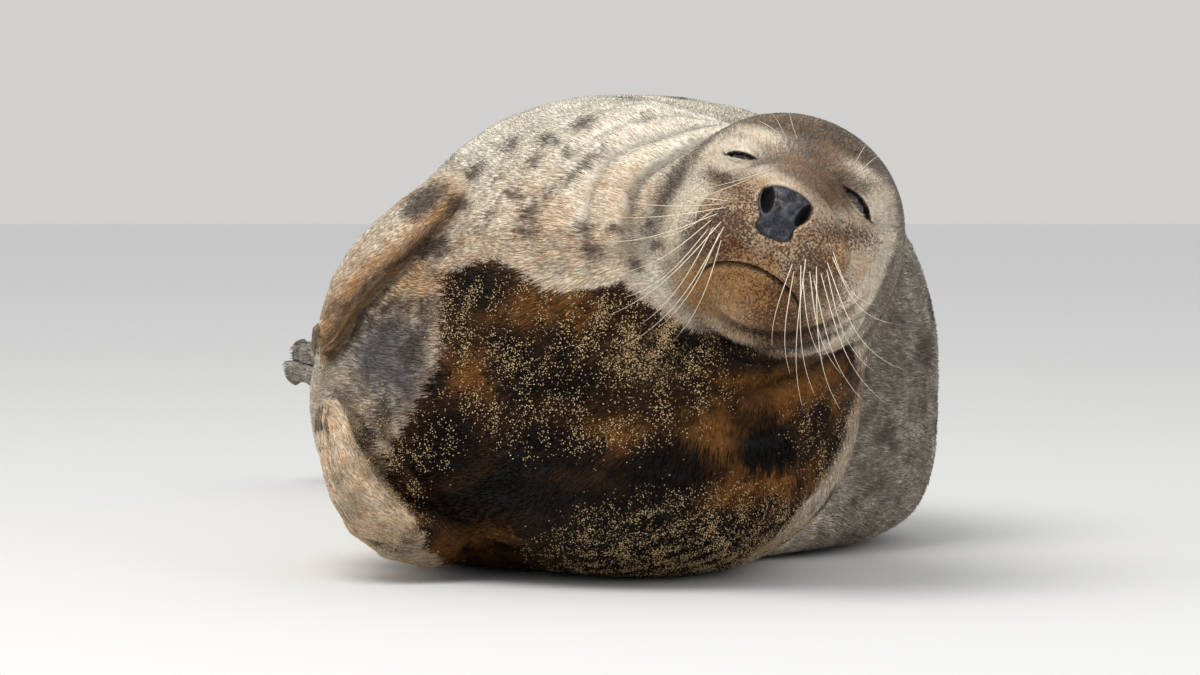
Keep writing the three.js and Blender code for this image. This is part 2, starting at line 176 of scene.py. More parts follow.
def make_sky():
    world = bpy.data.worlds.new("sky")
    world.use_nodes = True
    nodes, links = world.node_tree.nodes, world.node_tree.links
    nodes.clear()
    mix = nodes.new("ShaderNodeMixShader")
    links.new(seen_rays(nodes, links), mix.inputs[0])
    for socket, (colour, strength) in ((1, LIT_SKY), (2, SEEN_SKY)):
        light = nodes.new("ShaderNodeBackground")
        light.inputs["Color"].default_value = colour
        light.inputs["Strength"].default_value = strength
        links.new(light.outputs[0], mix.inputs[socket])
    out = nodes.new("ShaderNodeOutputWorld")
    links.new(mix.outputs[0], out.inputs["Surface"])
    bpy.context.scene.world = world


make_sky()
print("sky lights with", LIT_SKY, "and shows", SEEN_SKY)

# %% Floor
def make_floor():
    form = bmesh.new()
    bmesh.ops.create_grid(form, x_segments=1, y_segments=1, size=9)
    floor = new_thing("floor", mesh_from(form, "floor"))
    paint = bpy.data.materials.new("floor_paint")
    paint.use_nodes = True
    surface = paint.node_tree.nodes["Principled BSDF"].inputs
    surface["Base Color"].default_value = (*PALE, 1)
    surface["Roughness"].default_value = 0.9
    floor.data.materials.append(paint)
    floor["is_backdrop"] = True


make_floor()
bpy.context.scene.view_settings.view_transform = "Standard"
print("floor", seconds())

# %% [markdown]
# ## The frame of the head
# The head is turned, tipped and rolled, so its details are easiest to place in a frame of its own:
# x to the viewer's right, y back into the head, z to the crown, with the middle of the eyes at zero.
# Lengths in that frame are in millimetres, because lids and lips are small.

# %% Into the head's frame and back
def to_head(points):
    turn = np.array(HEAD_BACK)
    return (points @ turn[:3, :3].T + turn[:3, 3]) * 1000


def from_head(points):
    turn = np.array(HEAD)
    return (points / 1000) @ turn[:3, :3].T + turn[:3, 3]


NOSE_BOX = to_head(np.array(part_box("nose")))
print("nose in the head's frame", NOSE_BOX.mean(axis=0).round(1))

# %% [markdown]
# ## One skin over all the flesh
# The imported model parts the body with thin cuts. A voxel remesh takes copies of all those lengths
# and grows one closed surface around them, which is why no seam can show. A coarse remesh is enough
# for the trunk. A second and finer one still has the clefts between the flippers and the body, and
# later the flippers are drawn in onto it. It is too heavy to keep as the skin itself.

# %% Joined copies
FLESH = ["head", "lower_jaw", "neck", "chest", "trunk_front", "trunk_middle", "trunk_rear",
         "rump", "tail", "foreflipper_right", "foreflipper_left", "hindflipper_right",
         "hindflipper_left"]
FLIPPERS = FLESH[-4:]


def joined_copy(names, title):
    """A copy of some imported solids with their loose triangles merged; the solids stay as they are."""
    form = bmesh.new()
    for node in names:
        form.from_mesh(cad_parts[node].data)
    bmesh.ops.remove_doubles(form, verts=form.verts, dist=0.01 * MM)
    return new_thing(title, mesh_from(form, title))


def throw_away(thing):
    mesh = thing.data
    bpy.data.objects.remove(thing)
    bpy.data.meshes.remove(mesh)


def tree_of(mesh):
    """A search tree, for finding the nearest place on a surface."""
    return BVHTree.FromPolygons([v.co for v in mesh.vertices], [p.vertices for p in mesh.polygons])


print("lengths of flesh", len(FLESH))

# %% The remesh
VOXEL = 7.5 * MM
FINE_VOXEL = 3 * MM


def shells_of(form):
    """The separate closed pieces of a bmesh, the largest last."""
    unseen = set(form.verts)
    shells = []
    while unseen:
        stack = [unseen.pop()]
        shell = list(stack)
        while stack:
            for edge in stack.pop().link_edges:
                for vert in edge.verts:
                    if vert in unseen:
                        unseen.remove(vert)
                        stack.append(vert)
                        shell.append(vert)
        shells.append(shell)
    return sorted(shells, key=len)


def remeshed(thing, voxel):
    """Wraps a thing in one closed skin, without the walls that the remesh leaves inside it."""
    grid = thing.modifiers.new("grid", "REMESH")
    grid.mode = "VOXEL"
    grid.voxel_size = voxel
    bpy.context.view_layer.update()
    evaluated = thing.evaluated_get(bpy.context.evaluated_depsgraph_get())
    mesh = bpy.data.meshes.new_from_object(evaluated)
    thing.modifiers.clear()
    thing.data = mesh
    form = bmesh.new()
    form.from_mesh(mesh)
    inner = [vert for shell in shells_of(form)[:-1] for vert in shell]
    bmesh.ops.delete(form, geom=inner, context="VERTS")
    form.to_mesh(mesh)
    form.free()
    return thing


skin = remeshed(joined_copy(FLESH + ["nose", "eye_right", "eye_left"], "skin"), VOXEL)
print("skin", len(skin.data.vertices), "points", seconds())

# %% Read, move and mark the points of a mesh
def points_of(mesh):
    flat = np.empty(len(mesh.vertices) * 3)
    mesh.vertices.foreach_get("co", flat)
    return flat.reshape(-1, 3)


def normals_of(mesh):
    flat = np.empty(len(mesh.vertices) * 3)
    mesh.vertex_normals.foreach_get("vector", flat)
    return flat.reshape(-1, 3)


def move_points(mesh, points):
    mesh.vertices.foreach_set("co", points.ravel())
    mesh.update()


def shade_smooth(mesh):
    for polygon in mesh.polygons:
        polygon.use_smooth = True


def write_points(mesh, name, values):
    """Keeps one or three numbers at every point of a mesh, for the paint to read."""
    values = np.ascontiguousarray(values, dtype=np.float32)
    kind, key = ("FLOAT", "value") if values.ndim == 1 else ("FLOAT_VECTOR", "vector")
    layer = mesh.attributes.new(name, kind, "POINT")
    layer.data.foreach_set(key, values.ravel())


print("skin spans", np.ptp(points_of(skin.data), axis=0).round(3))

# %% Soft steps and smoothing
def ramp(value, low, high):
    """Zero at low, one at high, with a soft start and end."""
    share = np.clip((value - low) / (high - low), 0, 1)
    return share * share * (3 - 2 * share)


def smoothed(mesh, values, amount, rounds):
    """Averages values with their neighbours; amount runs from 0 (kept) to 1 at each point."""
    edges = np.empty(len(mesh.edges) * 2, dtype=np.int64)
    mesh.edges.foreach_get("vertices", edges)
    ends = edges.reshape(-1, 2)
    both = np.concatenate([ends, ends[:, ::-1]])
    count = len(mesh.vertices)
    near = np.maximum(np.bincount(both[:, 0], minlength=count), 1)
    values = values.copy()
    for _ in range(rounds):
        for column in range(values.shape[1]):
            total = np.bincount(both[:, 0], weights=values[both[:, 1], column], minlength=count)
            values[:, column] += amount * (total / near - values[:, column])
    return values


print("halfway up a ramp", ramp(0.5, 0, 1))

# %% [markdown]
# ## Smooth trunk, thin flippers, finer head
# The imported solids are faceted, so the trunk is smoothed until no facet shows, while the head and
# the flippers keep their form. Then the mesh is cut finer where small features come: the flippers
# once, the head and throat once, and the lids, the nose and the edge of the muzzle once more.
# Cutting only some faces keeps the whole skin light.

# %% How near a point is to a flipper or to the head
HEAD_CORE = np.array((0.0, 50.0, -45.0))
TO_MUZZLE = np.array((0.0, -115.0, -40.0))


def near_mesh(points, nodes, reach):
    """One on the named solids' surface, fading to zero at reach from it."""
    share = np.zeros(len(points))
    for node in nodes:
        tree = tree_of(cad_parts[node].data)
        low, high = (np.array(corner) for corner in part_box(node))
        close = np.all((points > low - reach) & (points < high + reach), axis=1)
        for index in np.nonzero(close)[0]:
            hit = tree.find_nearest(Vector(points[index]), reach)
            if hit[0] is not None:
                share[index] = max(share[index], 1 - hit[3] / reach)
    return share


def limb_share_of(points, names, reach):
    return np.minimum(near_mesh(points, names, reach) * 2, 1)


def limb_share(points, reach):
    return limb_share_of(points, FLIPPERS + ["tail"], reach)


def near_head(points, start=135, end=185):
    """One on the head, from the crown to the tip of the muzzle, fading out over the neck."""
    offset = to_head(points) - HEAD_CORE
    share = np.clip(offset @ TO_MUZZLE / (TO_MUZZLE @ TO_MUZZLE), 0, 1)
    reach = np.linalg.norm(offset - share[:, None] * TO_MUZZLE, axis=1) + 24 * share
    return 1 - ramp(reach, start, end)


print("points on the head", int((near_head(points_of(skin.data)) > 0.5).sum()))

# %% Smooth the trunk
def smooth_trunk(mesh):
    points = points_of(mesh)
    kept = np.maximum(near_head(points), limb_share(points, 14 * MM))
    points = smoothed(mesh, points, 0.5 * (1 - kept), 40)
    move_points(mesh, smoothed(mesh, points, 0.5 * near_head(points), 3))


smooth_trunk(skin.data)
print("smoothed", seconds())

# %% Draw the flippers in onto a finer remesh
def fine_surface():
    """A tree of a much finer remesh, which still has the clefts between the limbs and the body."""
    fine = remeshed(joined_copy(FLESH, "fine"), FINE_VOXEL)
    move_points(fine.data, smoothed(fine.data, points_of(fine.data), 0.5, 5))
    tree = tree_of(fine.data)
    throw_away(fine)
    return tree


def divide(mesh, chosen, rounds=2):
    """Cuts every face of the chosen points in four, then rounds off what was cut."""
    form = bmesh.new()
    form.from_mesh(mesh)
    form.verts.ensure_lookup_table()
    wanted = {form.verts[i] for i in np.nonzero(chosen)[0]}
    cut = [e for e in form.edges if e.verts[0] in wanted and e.verts[1] in wanted]
    bmesh.ops.subdivide_edges(form, edges=cut, cuts=1, use_grid_fill=True)
    form.to_mesh(mesh)
    form.free()
    points = points_of(mesh)
    added = np.ones(len(points) - len(chosen))
    changed = np.concatenate([np.where(chosen, 1.0, 0.0), added])
    move_points(mesh, smoothed(mesh, points, 0.45 * changed, rounds))


def drawn_in(mesh, tree, share, reach=45 * MM, lift=7 * MM):
    """Moves points along their normals, in or out, onto a finer surface."""
    points = points_of(mesh)
    normals = normals_of(mesh)
    for index in np.nonzero(share > 0.02)[0]:
        start = Vector(points[index])
        way = Vector(normals[index])
        place, facing, _, _ = tree.ray_cast(start + way * lift, -way, reach)
        if place is None or facing.dot(way) < 0.05:
            place = tree.find_nearest(start)[0]
        points[index] = start.lerp(place, float(share[index]))
    move_points(mesh, points)


print("the finer remesh steps by", FINE_VOXEL, "m")

# %% Shape the flippers in three rounds
def shape_limbs(mesh):
    """Divides the flippers, then draws them in and smooths them by turns."""
    tree = fine_surface()
    divide(mesh, near_mesh(points_of(mesh), FLIPPERS, 12 * MM) > 0.1, rounds=1)
    for _ in range(3):
        limbs = limb_share(points_of(mesh), 20 * MM)
        drawn_in(mesh, tree, limbs)
        move_points(mesh, smoothed(mesh, points_of(mesh), 0.5 * limbs, 2))


shape_limbs(skin.data)
print("limbs drawn in", len(skin.data.vertices), "points", seconds())

# %% The eyes' own frames, and the edge of the muzzle
EYE_GAZE = 28                      # degrees that each eye looks outwards
EYE_RADIUS = 21.0
EYES = {
    "right": {"at": (-EYE_SIDE, EYE_BACK, EYE_LIFT), "hand": -1, "tilt": 6, "long": 20, "open": 2.6},
    "left": {"at": (EYE_SIDE, EYE_BACK, EYE_LIFT), "hand": 1, "tilt": 24, "long": 26, "open": 4.4},
}


def eye_axes(hand, tilt):
    """Along the slit to its outer corner, up across it, and out of the eye."""
    turn = math.radians(EYE_GAZE)
    lean = math.radians(tilt)
    level = np.array((hand * math.cos(turn), math.sin(turn), 0))
    up = np.array((0, 0, 1.0))
    out = np.array((hand * math.sin(turn), -math.cos(turn), 0))
    along = math.cos(lean) * level - math.sin(lean) * up
    across = math.cos(lean) * up + math.sin(lean) * level
    return along, across, out


def eye_places(head_points, eye):
    """Places in one eye's own frame, in millimetres from the middle of the ball."""
    offset = head_points - np.array(eye["at"])
    return [offset @ axis for axis in eye_axes(eye["hand"], eye["tilt"])]


MUZZLE_REACH = 62                  # millimetres from the middle of the muzzle to its edge


def muzzle_edge(x, z):
    """Millimetres inside the crease that rings the muzzle; less than zero on the cheeks."""
    reach = np.hypot(x, z + 75)
    return MUZZLE_REACH + 18 * (abs(x) / np.maximum(reach, 1)) ** 4 - reach


print("eyes", {name: eye["open"] * 2 for name, eye in EYES.items()}, "mm open")

# %% Cut the head, then its small features, finer
def divide_head(mesh):
    x, y, z = to_head(points_of(mesh)).T
    face = (y < 40) & (abs(x) < 112) & (z > -198) & (z < 56)
    throat = (y < 80) & (abs(x) < 120) & (z > -230) & (z < -140)
    divide(mesh, face | throat)


def divide_features(mesh):
    head_points = to_head(points_of(mesh))
    x, y, z = head_points.T
    small = (y < -26) & (abs(x) < 66) & (z > -142) & (z < -24)
    small |= (abs(muzzle_edge(x, z)) < 8) & (y < 10) & (z > -110)
    for eye in EYES.values():
        along, across, out = eye_places(head_points, eye)
        small |= (out > 4) & (abs(along) < 34) & (abs(across) < 17)
    divide(mesh, small, rounds=1)


mesh = skin.data
divide_head(mesh)
divide_features(mesh)
print("divided", len(mesh.vertices), "points", len(mesh.polygons), "faces", seconds())

# %% [markdown]
# ## Folds, lids and lips
# A sculptor pushes and pulls the clay along its own surface. The same is done here in code: each
# feature is a soft-edged share between zero and one, and the skin moves along its normals by so many
# millimetres times that share. The skin first sinks by the depth of the coat that will lie on it.

# %% Soft shapes to push with
def bell(distance, width):
    return np.exp(-np.square(distance / width))


def to_line(u, v, corners):
    """Distance from points of a plane to a line through a few corners."""
    best = np.full(len(u), 1e9)
    for (u0, v0), (u1, v1) in zip(corners[:-1], corners[1:]):
        du, dv = u1 - u0, v1 - v0
        share = np.clip(((u - u0) * du + (v - v0) * dv) / (du * du + dv * dv), 0, 1)
        best = np.minimum(best, np.hypot(u - u0 - share * du, v - v0 - share * dv))
    return best


print("one width out, a bell stands", round(float(bell(1.0, 1.0)), 2), "high")

# %% Random waves, and places seen from the front
def waves(points, size, seed, octaves=3):
    """A smooth random height between about -1 and 1, from sums of slanted sine waves."""
    chance = np.random.default_rng(seed)
    height = np.zeros(len(points))
    total = 0
    for octave in range(octaves):
        for _ in range(7):
            way = chance.normal(size=3)
            way *= 2 * math.pi / (size * np.linalg.norm(way)) * (1.7 ** octave)
            height += np.sin(points @ way + chance.uniform(0, 6.28)) / (1.6 ** octave)
        total += 7 / (1.6 ** octave)
    return height / total * 2.6


def from_the_front(points):
    """Places on the upright plane through the middle of the view, in millimetres."""
    offset = points - np.array(TARGET)
    level, lift = math.cos(CAMERA_LIFT), math.sin(CAMERA_LIFT)
    depth = CAMERA_FAR + offset[:, 1] * level - offset[:, 2] * lift
    grow = 1000 * CAMERA_FAR / depth
    return offset[:, 0] * grow, (offset[:, 1] * lift + offset[:, 2] * level) * grow


print("the middle of the view is at", *from_the_front(np.array([TARGET])))

# %% The outline of the nose leather
NOSE_MIDDLE = (1, -61)
NOSE_OUTLINE = [(0, 27), (28, 29.5), (52, 32.5), (76, 27), (98, 21), (118, 19.5), (138, 27.5),
                (158, 26.5), (180, 25)]   # degrees from the top, and how far out
NOSTRILS = {
    "right": {"from": (-21, -37), "to": (-13, -65), "wide": 6.4},
    "left": {"from": (26, -38), "to": (18.5, -65), "wide": 4.8},
}


def nose_reach(x, z):
    """How far the nose leather reaches on the way to a place: wide wings, a waist, a wide foot."""
    turn = np.degrees(np.arctan2(abs(x - NOSE_MIDDLE[0]), z - NOSE_MIDDLE[1]))
    return np.interp(turn, *zip(*NOSE_OUTLINE))


def nose_ring(x, z):
    """Zero in the middle of the nose leather, one on its outline."""
    return np.hypot(x - NOSE_MIDDLE[0], z - NOSE_MIDDLE[1]) / nose_reach(x, z)


def in_nostril(x, z, nostril):
    """Zero in the middle of a nostril and one on its rim."""
    (x0, z0), (x1, z1) = nostril["from"], nostril["to"]
    middle = ((x0 + x1) / 2, (z0 + z1) / 2)
    long = math.hypot(x1 - x0, z1 - z0) / 2
    ux, uz = (x1 - x0) / (2 * long), (z1 - z0) / (2 * long)
    along = (x - middle[0]) * ux + (z - middle[1]) * uz
    across = (z - middle[1]) * ux - (x - middle[0]) * uz
    return np.hypot(along / long, across / nostril["wide"])


print("nose leather is", 2 * max(reach for _, reach in NOSE_OUTLINE), "mm at its widest")

# %% Lids wrapped round the eyes
def slit_half(along, eye):
    """Half the height of the slit between the lids."""
    return eye["open"] * np.sqrt(np.maximum(1 - np.square(along / eye["long"]), 0))


def eye_push(head_points, eye):
    """Wraps the lids round the ball, and opens the slit between them."""
    along, across, out = eye_places(head_points, eye)
    reach = np.sqrt(along ** 2 + across ** 2 + out ** 2)
    near = 1 - ramp(np.hypot(along / (eye["long"] + 19), across / 23), 0.30, 1)
    near = near * (out > 0)
    half = slit_half(along, eye)
    ends = 1 - ramp(abs(along), eye["long"] - 1.5, eye["long"] + 0.5)
    gap = ramp(half - abs(across), -0.3, 0.9) * ends
    lid = 2.4 + 0.7 * bell(abs(across) - half - 1.6, 1.3) * ends
    lid += 0.8 * ramp(across, -2, 4)
    lid -= 1.3 * bell(across - half - 8.5 + 0.012 * along ** 2, 1.9) * (1 - ramp(abs(along), 12, 24))
    lid -= 0.8 * bell(across + half + 6.5 - 0.012 * along ** 2, 1.8) * (1 - ramp(abs(along), 10, 22))
    tear = bell(across + 0.1 * (along + eye["long"]), 1.3) * bell(along + eye["long"] + 5, 6)
    lid -= 1.5 * tear
    target = EYE_RADIUS + lid * (1 - gap) - 2.2 * gap
    return (target - reach) * near


print("lids", len(EYES), "pairs")

# %% Nose bed, whisker pads and mouth
MOUTH_MIDDLE, MOUTH_BEND, MOUTH_REACH = -115.5, 0.0056, 54


def above_mouth(x, z):
    """Millimetres above the line between the lips."""
    return z - (MOUTH_MIDDLE - MOUTH_BEND * x * x)


def snout_push(head_points, front):
    x, y, z = head_points.T
    # a bed for the nose leather, with a soft rim of skin round it
    ring = nose_ring(x, z)
    push = -13.0 * (1 - ramp(ring, 0.84, 0.99)) * (y < -60)
    push += 1.5 * bell(ring - 1.12, 0.1) * (y < -60)
    # whisker pads swell on each side of the groove under the nose
    push += 3.6 * bell(np.hypot(abs(x) - 34, (z + 95) * 1.12), 22) * front
    groove = ramp(-z, 84, 94) * (1 - ramp(-z, 108, 115)) * (y < -60)
    push -= 1.6 * bell(x - 6 + 0.2 * (z + 88), 2.6) * groove
    # the mouth: an overhanging upper lip, a deep narrow line, and a thin lower lip
    drop = above_mouth(x, z)
    inside = (1 - ramp(abs(x), MOUTH_REACH - 22, MOUTH_REACH + 6)) * (y < -8)
    push += 2.6 * bell(drop - 5.5, 4.5) * inside
    push -= 7.0 * bell(drop + 0.4, 1.9) * inside
    push += 1.6 * bell(drop + 6.0, 3.5) * inside
    push -= 2.4 * bell(np.hypot(abs(x) - MOUTH_REACH - 2, drop + 3), 8) * (y < 0)
    return push


print("mouth", 2 * MOUTH_REACH, "mm wide")

# %% Muzzle, brows, cheeks, chin and ear pits
def ear_pit(head_points):
    """Millimetres from the nearer ear, which is only a small pit well behind the eye."""
    x, y, z = head_points.T
    return np.sqrt((abs(x) - 102) ** 2 + (y - 62) ** 2 + (z + 16) ** 2)


def cheek_push(head_points, front):
    x, _, z = head_points.T
    # a crease parts the full muzzle from the cheeks
    edge = muzzle_edge(x, z)
    share = ramp(abs(x), 12, 34) * (1 - ramp(-z, 82, 112)) * front
    push = -3.6 * bell(edge + 1, 3.4) * share
    push += 2.6 * bell(edge - 11, 8) * share
    push += 1.6 * bell(edge + 9, 6) * share
    push -= 1.3 * bell(edge - 16, 1.8) * share * ramp(abs(x), 26, 40)
    push -= 1.2 * bell(edge + 17, 2.2) * share * ramp(abs(x), 20, 36)
    # full brows over the eyes, and cheeks below them
    push += 2.4 * bell(np.hypot((abs(x) - 44) / 2.4, z - 28), 11) * front
    push += 2.0 * bell(np.hypot(abs(x) - 78, (z + 52) / 1.6), 20) * front
    # the chin rounds out below the lower lip
    push += 3.4 * bell(np.hypot((x + 2) / 1.5, z + 138), 15) * front
    pit = ear_pit(head_points)
    push -= 5.0 * bell(pit, 3.6)
    push += 0.9 * bell(pit - 7, 2.6)
    return push


print("muzzle", 2 * MUZZLE_REACH, "mm across inside its crease")

# %% [markdown]
# ## Toes
# A flipper is a hand with five long fingers inside one mitten of skin. Shallow grooves run between
# the fingers, and the skin rises round the root of each claw. The hind flippers of a resting seal
# are held sole to sole, so the hollow between their two soles is filled until they nearly touch.

# %% Grooves between the toes
def toes_of(name):
    """The five claws of a flipper, the middle of its tip, and its root."""
    claws = np.array([np.mean(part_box(f"claw_{name}_{digit}"), axis=0) for digit in range(1, 6)])
    tip = claws.mean(axis=0)
    return claws, tip, np.mean(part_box(name), axis=0) * 2 - tip


def digit_push(points):
    """Five low ridges on each flipper, one over the bones of each toe, with webs between them."""
    push = np.zeros(len(points))
    for name in FLIPPERS:
        claws, tip, root = toes_of(name)
        long = np.linalg.norm(tip - root)
        step = (tip - root) / long
        side = claws[4] - claws[0] - step * np.dot(claws[4] - claws[0], step)
        side /= np.linalg.norm(side)
        own = np.minimum(near_mesh(points, [name], 12 * MM) * 2, 1)
        offset = points - root
        along = np.clip(offset @ step / long, 0, 1.2)
        across = offset @ side
        gaps = np.sort((claws - root) @ side)
        gaps = (gaps[1:] + gaps[:-1]) / 2
        fade = own * ramp(along, 0.25, 0.6)
        for gap in gaps:
            push -= 3.0 * bell((across - gap * along) / MM, 4.0) * fade
        push += 0.7 * fade
        for claw in claws:
            far = np.linalg.norm(points - claw + 9 * MM * step, axis=1) / MM
            push += 3.4 * bell(far, 8.0)
    return push


print("toes", 5 * len(FLIPPERS))

# %% The hind flippers pressed together
def pressed_together(points, normals):
    """Fills the hollow between the hind flippers, which lie sole to sole."""
    pair = [toes_of(name) for name in FLIPPERS[2:]]
    tip = (pair[0][1] + pair[1][1]) / 2
    root = (pair[0][2] + pair[1][2]) / 2
    step = tip - root
    along = np.clip((points - root) @ step / (step @ step), 0, 1)
    gap = root[2] + along * step[2] - points[:, 2]
    share = limb_share_of(points, FLIPPERS[2:], 14 * MM) * ramp(along, 0.1, 0.4)
    share *= ramp(normals[:, 2] * np.sign(gap), 0.0, 0.45) * (abs(gap) < 24 * MM)
    points[:, 2] += 0.85 * gap * share


HIND_TIPS = [toes_of(name)[1][2] for name in FLIPPERS[2:]]
print("hind tips stand apart by", round(abs(HIND_TIPS[0] - HIND_TIPS[1]), 3), "m")

# %% [markdown]
# ## Folds of the throat, the neck and the flank
# The head is twisted on the neck, so the throat folds under the chin and the neck lies in soft rolls
# behind the skull. Loose skin also creases at the armpit. Each fold is a groove with a swelling on
# both sides of it, because skin that is pushed together has to go somewhere.

# %% Where the folds run
THROAT_FOLDS = [
    {"x": 180, "z": 4.0, "bend": 0.0050, "reach": 84, "deep": 12.0, "wide": 4.0},
    {"x": 172, "z": -9.5, "bend": 0.0042, "reach": 96, "deep": 8.0, "wide": 3.6},
]
# Creases of the armpit and of the lower flank: from, to, how deep and how wide.
FLANK_CREASES = [
    [(-205, -172), (-160, -196), (-110, -208), (-60, -222), 5.5, 5.0],
    [(-195, -190), (-150, -214), (-104, -230), (-52, -240), 5.0, 4.5],
    [(-240, -120), (-214, -150), (-190, -178), (-178, -206), 4.0, 5.0],
    [(-214, -100), (-190, -126), (-174, -150), (-150, -168), 3.0, 5.0],
    [(-190, 30), (-214, 10), (-232, -20), (-240, -56), 2.5, 8.0],
    [(-150, 150), (-158, 134), (-182, 100), (-222, 58), 3.0, 6.0],
]


def fold_line(points, fold):
    """Millimetres above the line of a throat fold, and how fully the fold is there."""
    x, z = from_the_front(points)
    line = z - (fold["z"] + fold["bend"] * (x - fold["x"]) ** 2)
    reach = np.where(x < fold["x"], fold["reach"] - 22, fold["reach"])
    share = 1 - ramp(abs(x - fold["x"]), reach - 30, reach + 12)
    return line, share * ramp(-points[:, 1] * 1000, 640, 700)


print("folds", len(THROAT_FOLDS) + len(FLANK_CREASES))

# %% Folds, creases, neck rolls and the soft waves of fat
NECK_ROLLS = ((152, 6.0), (198, 2.4), (244, 1.6), (300, 1.0))   # from the skull, and how deep


def body_push(points, head_points, normals, limbs):
    x, z = from_the_front(points)
    front = ramp(-normals[:, 1], 0.0, 0.35) * (1 - limbs)
    push = np.zeros(len(x))
    for fold in THROAT_FOLDS:
        line, share = fold_line(points, fold)
        push -= fold["deep"] * bell(line, fold["wide"]) * share
        push += 0.5 * fold["deep"] * bell(line - 11, 7) * share
        push += 0.4 * fold["deep"] * bell(line + 9, 6) * share
    for crease in FLANK_CREASES:
        line = to_line(x, z, crease[:4])
        push -= crease[4] * bell(line + 0.12 * waves(points, 0.05, 3) * crease[5], crease[5]) * front
        push += 0.4 * crease[4] * bell(line - 2.4 * crease[5], 1.4 * crease[5]) * front
    # soft rolls of the neck, ring behind ring away from the skull
    far = np.linalg.norm(head_points - np.array((0, 60, -50)), axis=1)
    wander = 14 * waves(points, 0.22, 5)
    behind = ramp(head_points[:, 1], 20, 90) * (1 - limbs)
    for ring, deep in NECK_ROLLS:
        push -= deep * bell(far + wander - ring, 9) * behind
        push += 0.5 * deep * bell(far + wander - ring - 22, 16) * behind
    body = (1 - near_head(points, 110, 160)) * (1 - limbs)
    push += 2.0 * waves(points, 0.26, 7) * body
    push += 0.5 * waves(points, 0.05, 8, 2) * body
    return push


print("rolls of the neck", len(NECK_ROLLS))

# %% Push the skin into shape
COAT_DEPTH = {"body": 3.0, "face": 1.3, "limb": 1.2}


def sunk(points, normals):
    """Lowers the skin by the depth of the coat that will lie on it."""
    depth = COAT_DEPTH["body"] + (COAT_DEPTH["face"] - COAT_DEPTH["body"]) * near_head(points, 110, 165)
    depth += (COAT_DEPTH["limb"] - depth) * limb_share(points, 12 * MM)
    return points - normals * depth[:, None] * MM


def sculpt(mesh):
    """Shapes the skin, and gives back where its points were in the head's frame before the lids."""
    points = points_of(mesh)
    normals = normals_of(mesh)
    ahead = (normals @ np.array(HEAD_BACK)[:3, :3].T)[:, 1]
    front = ramp(-ahead, -0.1, 0.3) * (to_head(points)[:, 1] < 60)
    head_points = to_head(sunk(points, normals))
    rest = head_points.copy()
    for eye in EYES.values():
        arm = head_points - np.array(eye["at"])
        arm /= np.linalg.norm(arm, axis=1)[:, None]
        head_points += arm * eye_push(head_points, eye)[:, None]
    points = from_head(head_points)
    push = snout_push(head_points, front) + cheek_push(head_points, front)
    push += body_push(points, head_points, normals, limb_share(points, 16 * MM))
    push += digit_push(points)
    points += normals * push[:, None] * MM
    pressed_together(points, normals)
    points[:, 2] = np.maximum(points[:, 2], 0.4 * MM)
    move_points(mesh, points)
    shade_smooth(mesh)
    return rest


REST = sculpt(mesh)
print("sculpted", seconds())

# %% [markdown]
# ## Nose leather
# The bare leather of the nose starts as a ball. Its front half is laid over the muzzle: every point
# keeps its place in the outline, and takes its depth from the plain solids behind it. Then the
# nostrils are pressed in and their rims raised.

# %% The face behind the leather
def plain_face():
    """A tree of the solids that the nose leather lies on."""
    things = joined_copy(["head", "lower_jaw", "nose"], "lookup")
    tree = tree_of(things.data)
    throw_away(things)
    return tree


def face_depth(tree, x, z):
    """The y of the solid face at a place of the head's frame, seen from straight ahead."""
    start = HEAD @ (Vector((x, -260, z)) * MM)
    way = HEAD.to_3x3() @ Vector((0, 1, 0))
    place = tree.ray_cast(start, way)[0]
    return (HEAD_BACK @ place).y / MM


def nose_base(tree, x, z):
    """A smooth bulge fitted to the solid face round the nostrils, so that their holes do not count."""
    def terms(a, b):
        return np.stack([np.ones_like(a), a, b, a * a, a * b, b * b, a ** 3, b ** 3, a * a * b], 1)

    a, b = (grid.ravel() for grid in np.meshgrid(np.linspace(-36, 36, 25), np.linspace(-36, 32, 25)))
    a, b = a + NOSE_MIDDLE[0], b + NOSE_MIDDLE[1]
    solid = nose_ring(a, b) < 1.1
    for nostril in NOSTRILS.values():
        solid &= in_nostril(a, b, nostril) > 1.4
    a, b = a[solid], b[solid]
    depth = np.array([face_depth(tree, *place) for place in zip(a, b)])
    scale = 30
    fit = np.linalg.lstsq(terms(a / scale, b / scale), depth, rcond=None)[0]
    return terms(x / scale, z / scale) @ fit


print("face behind the nose", round(face_depth(plain_face(), *NOSE_MIDDLE)), "mm from the eyes")

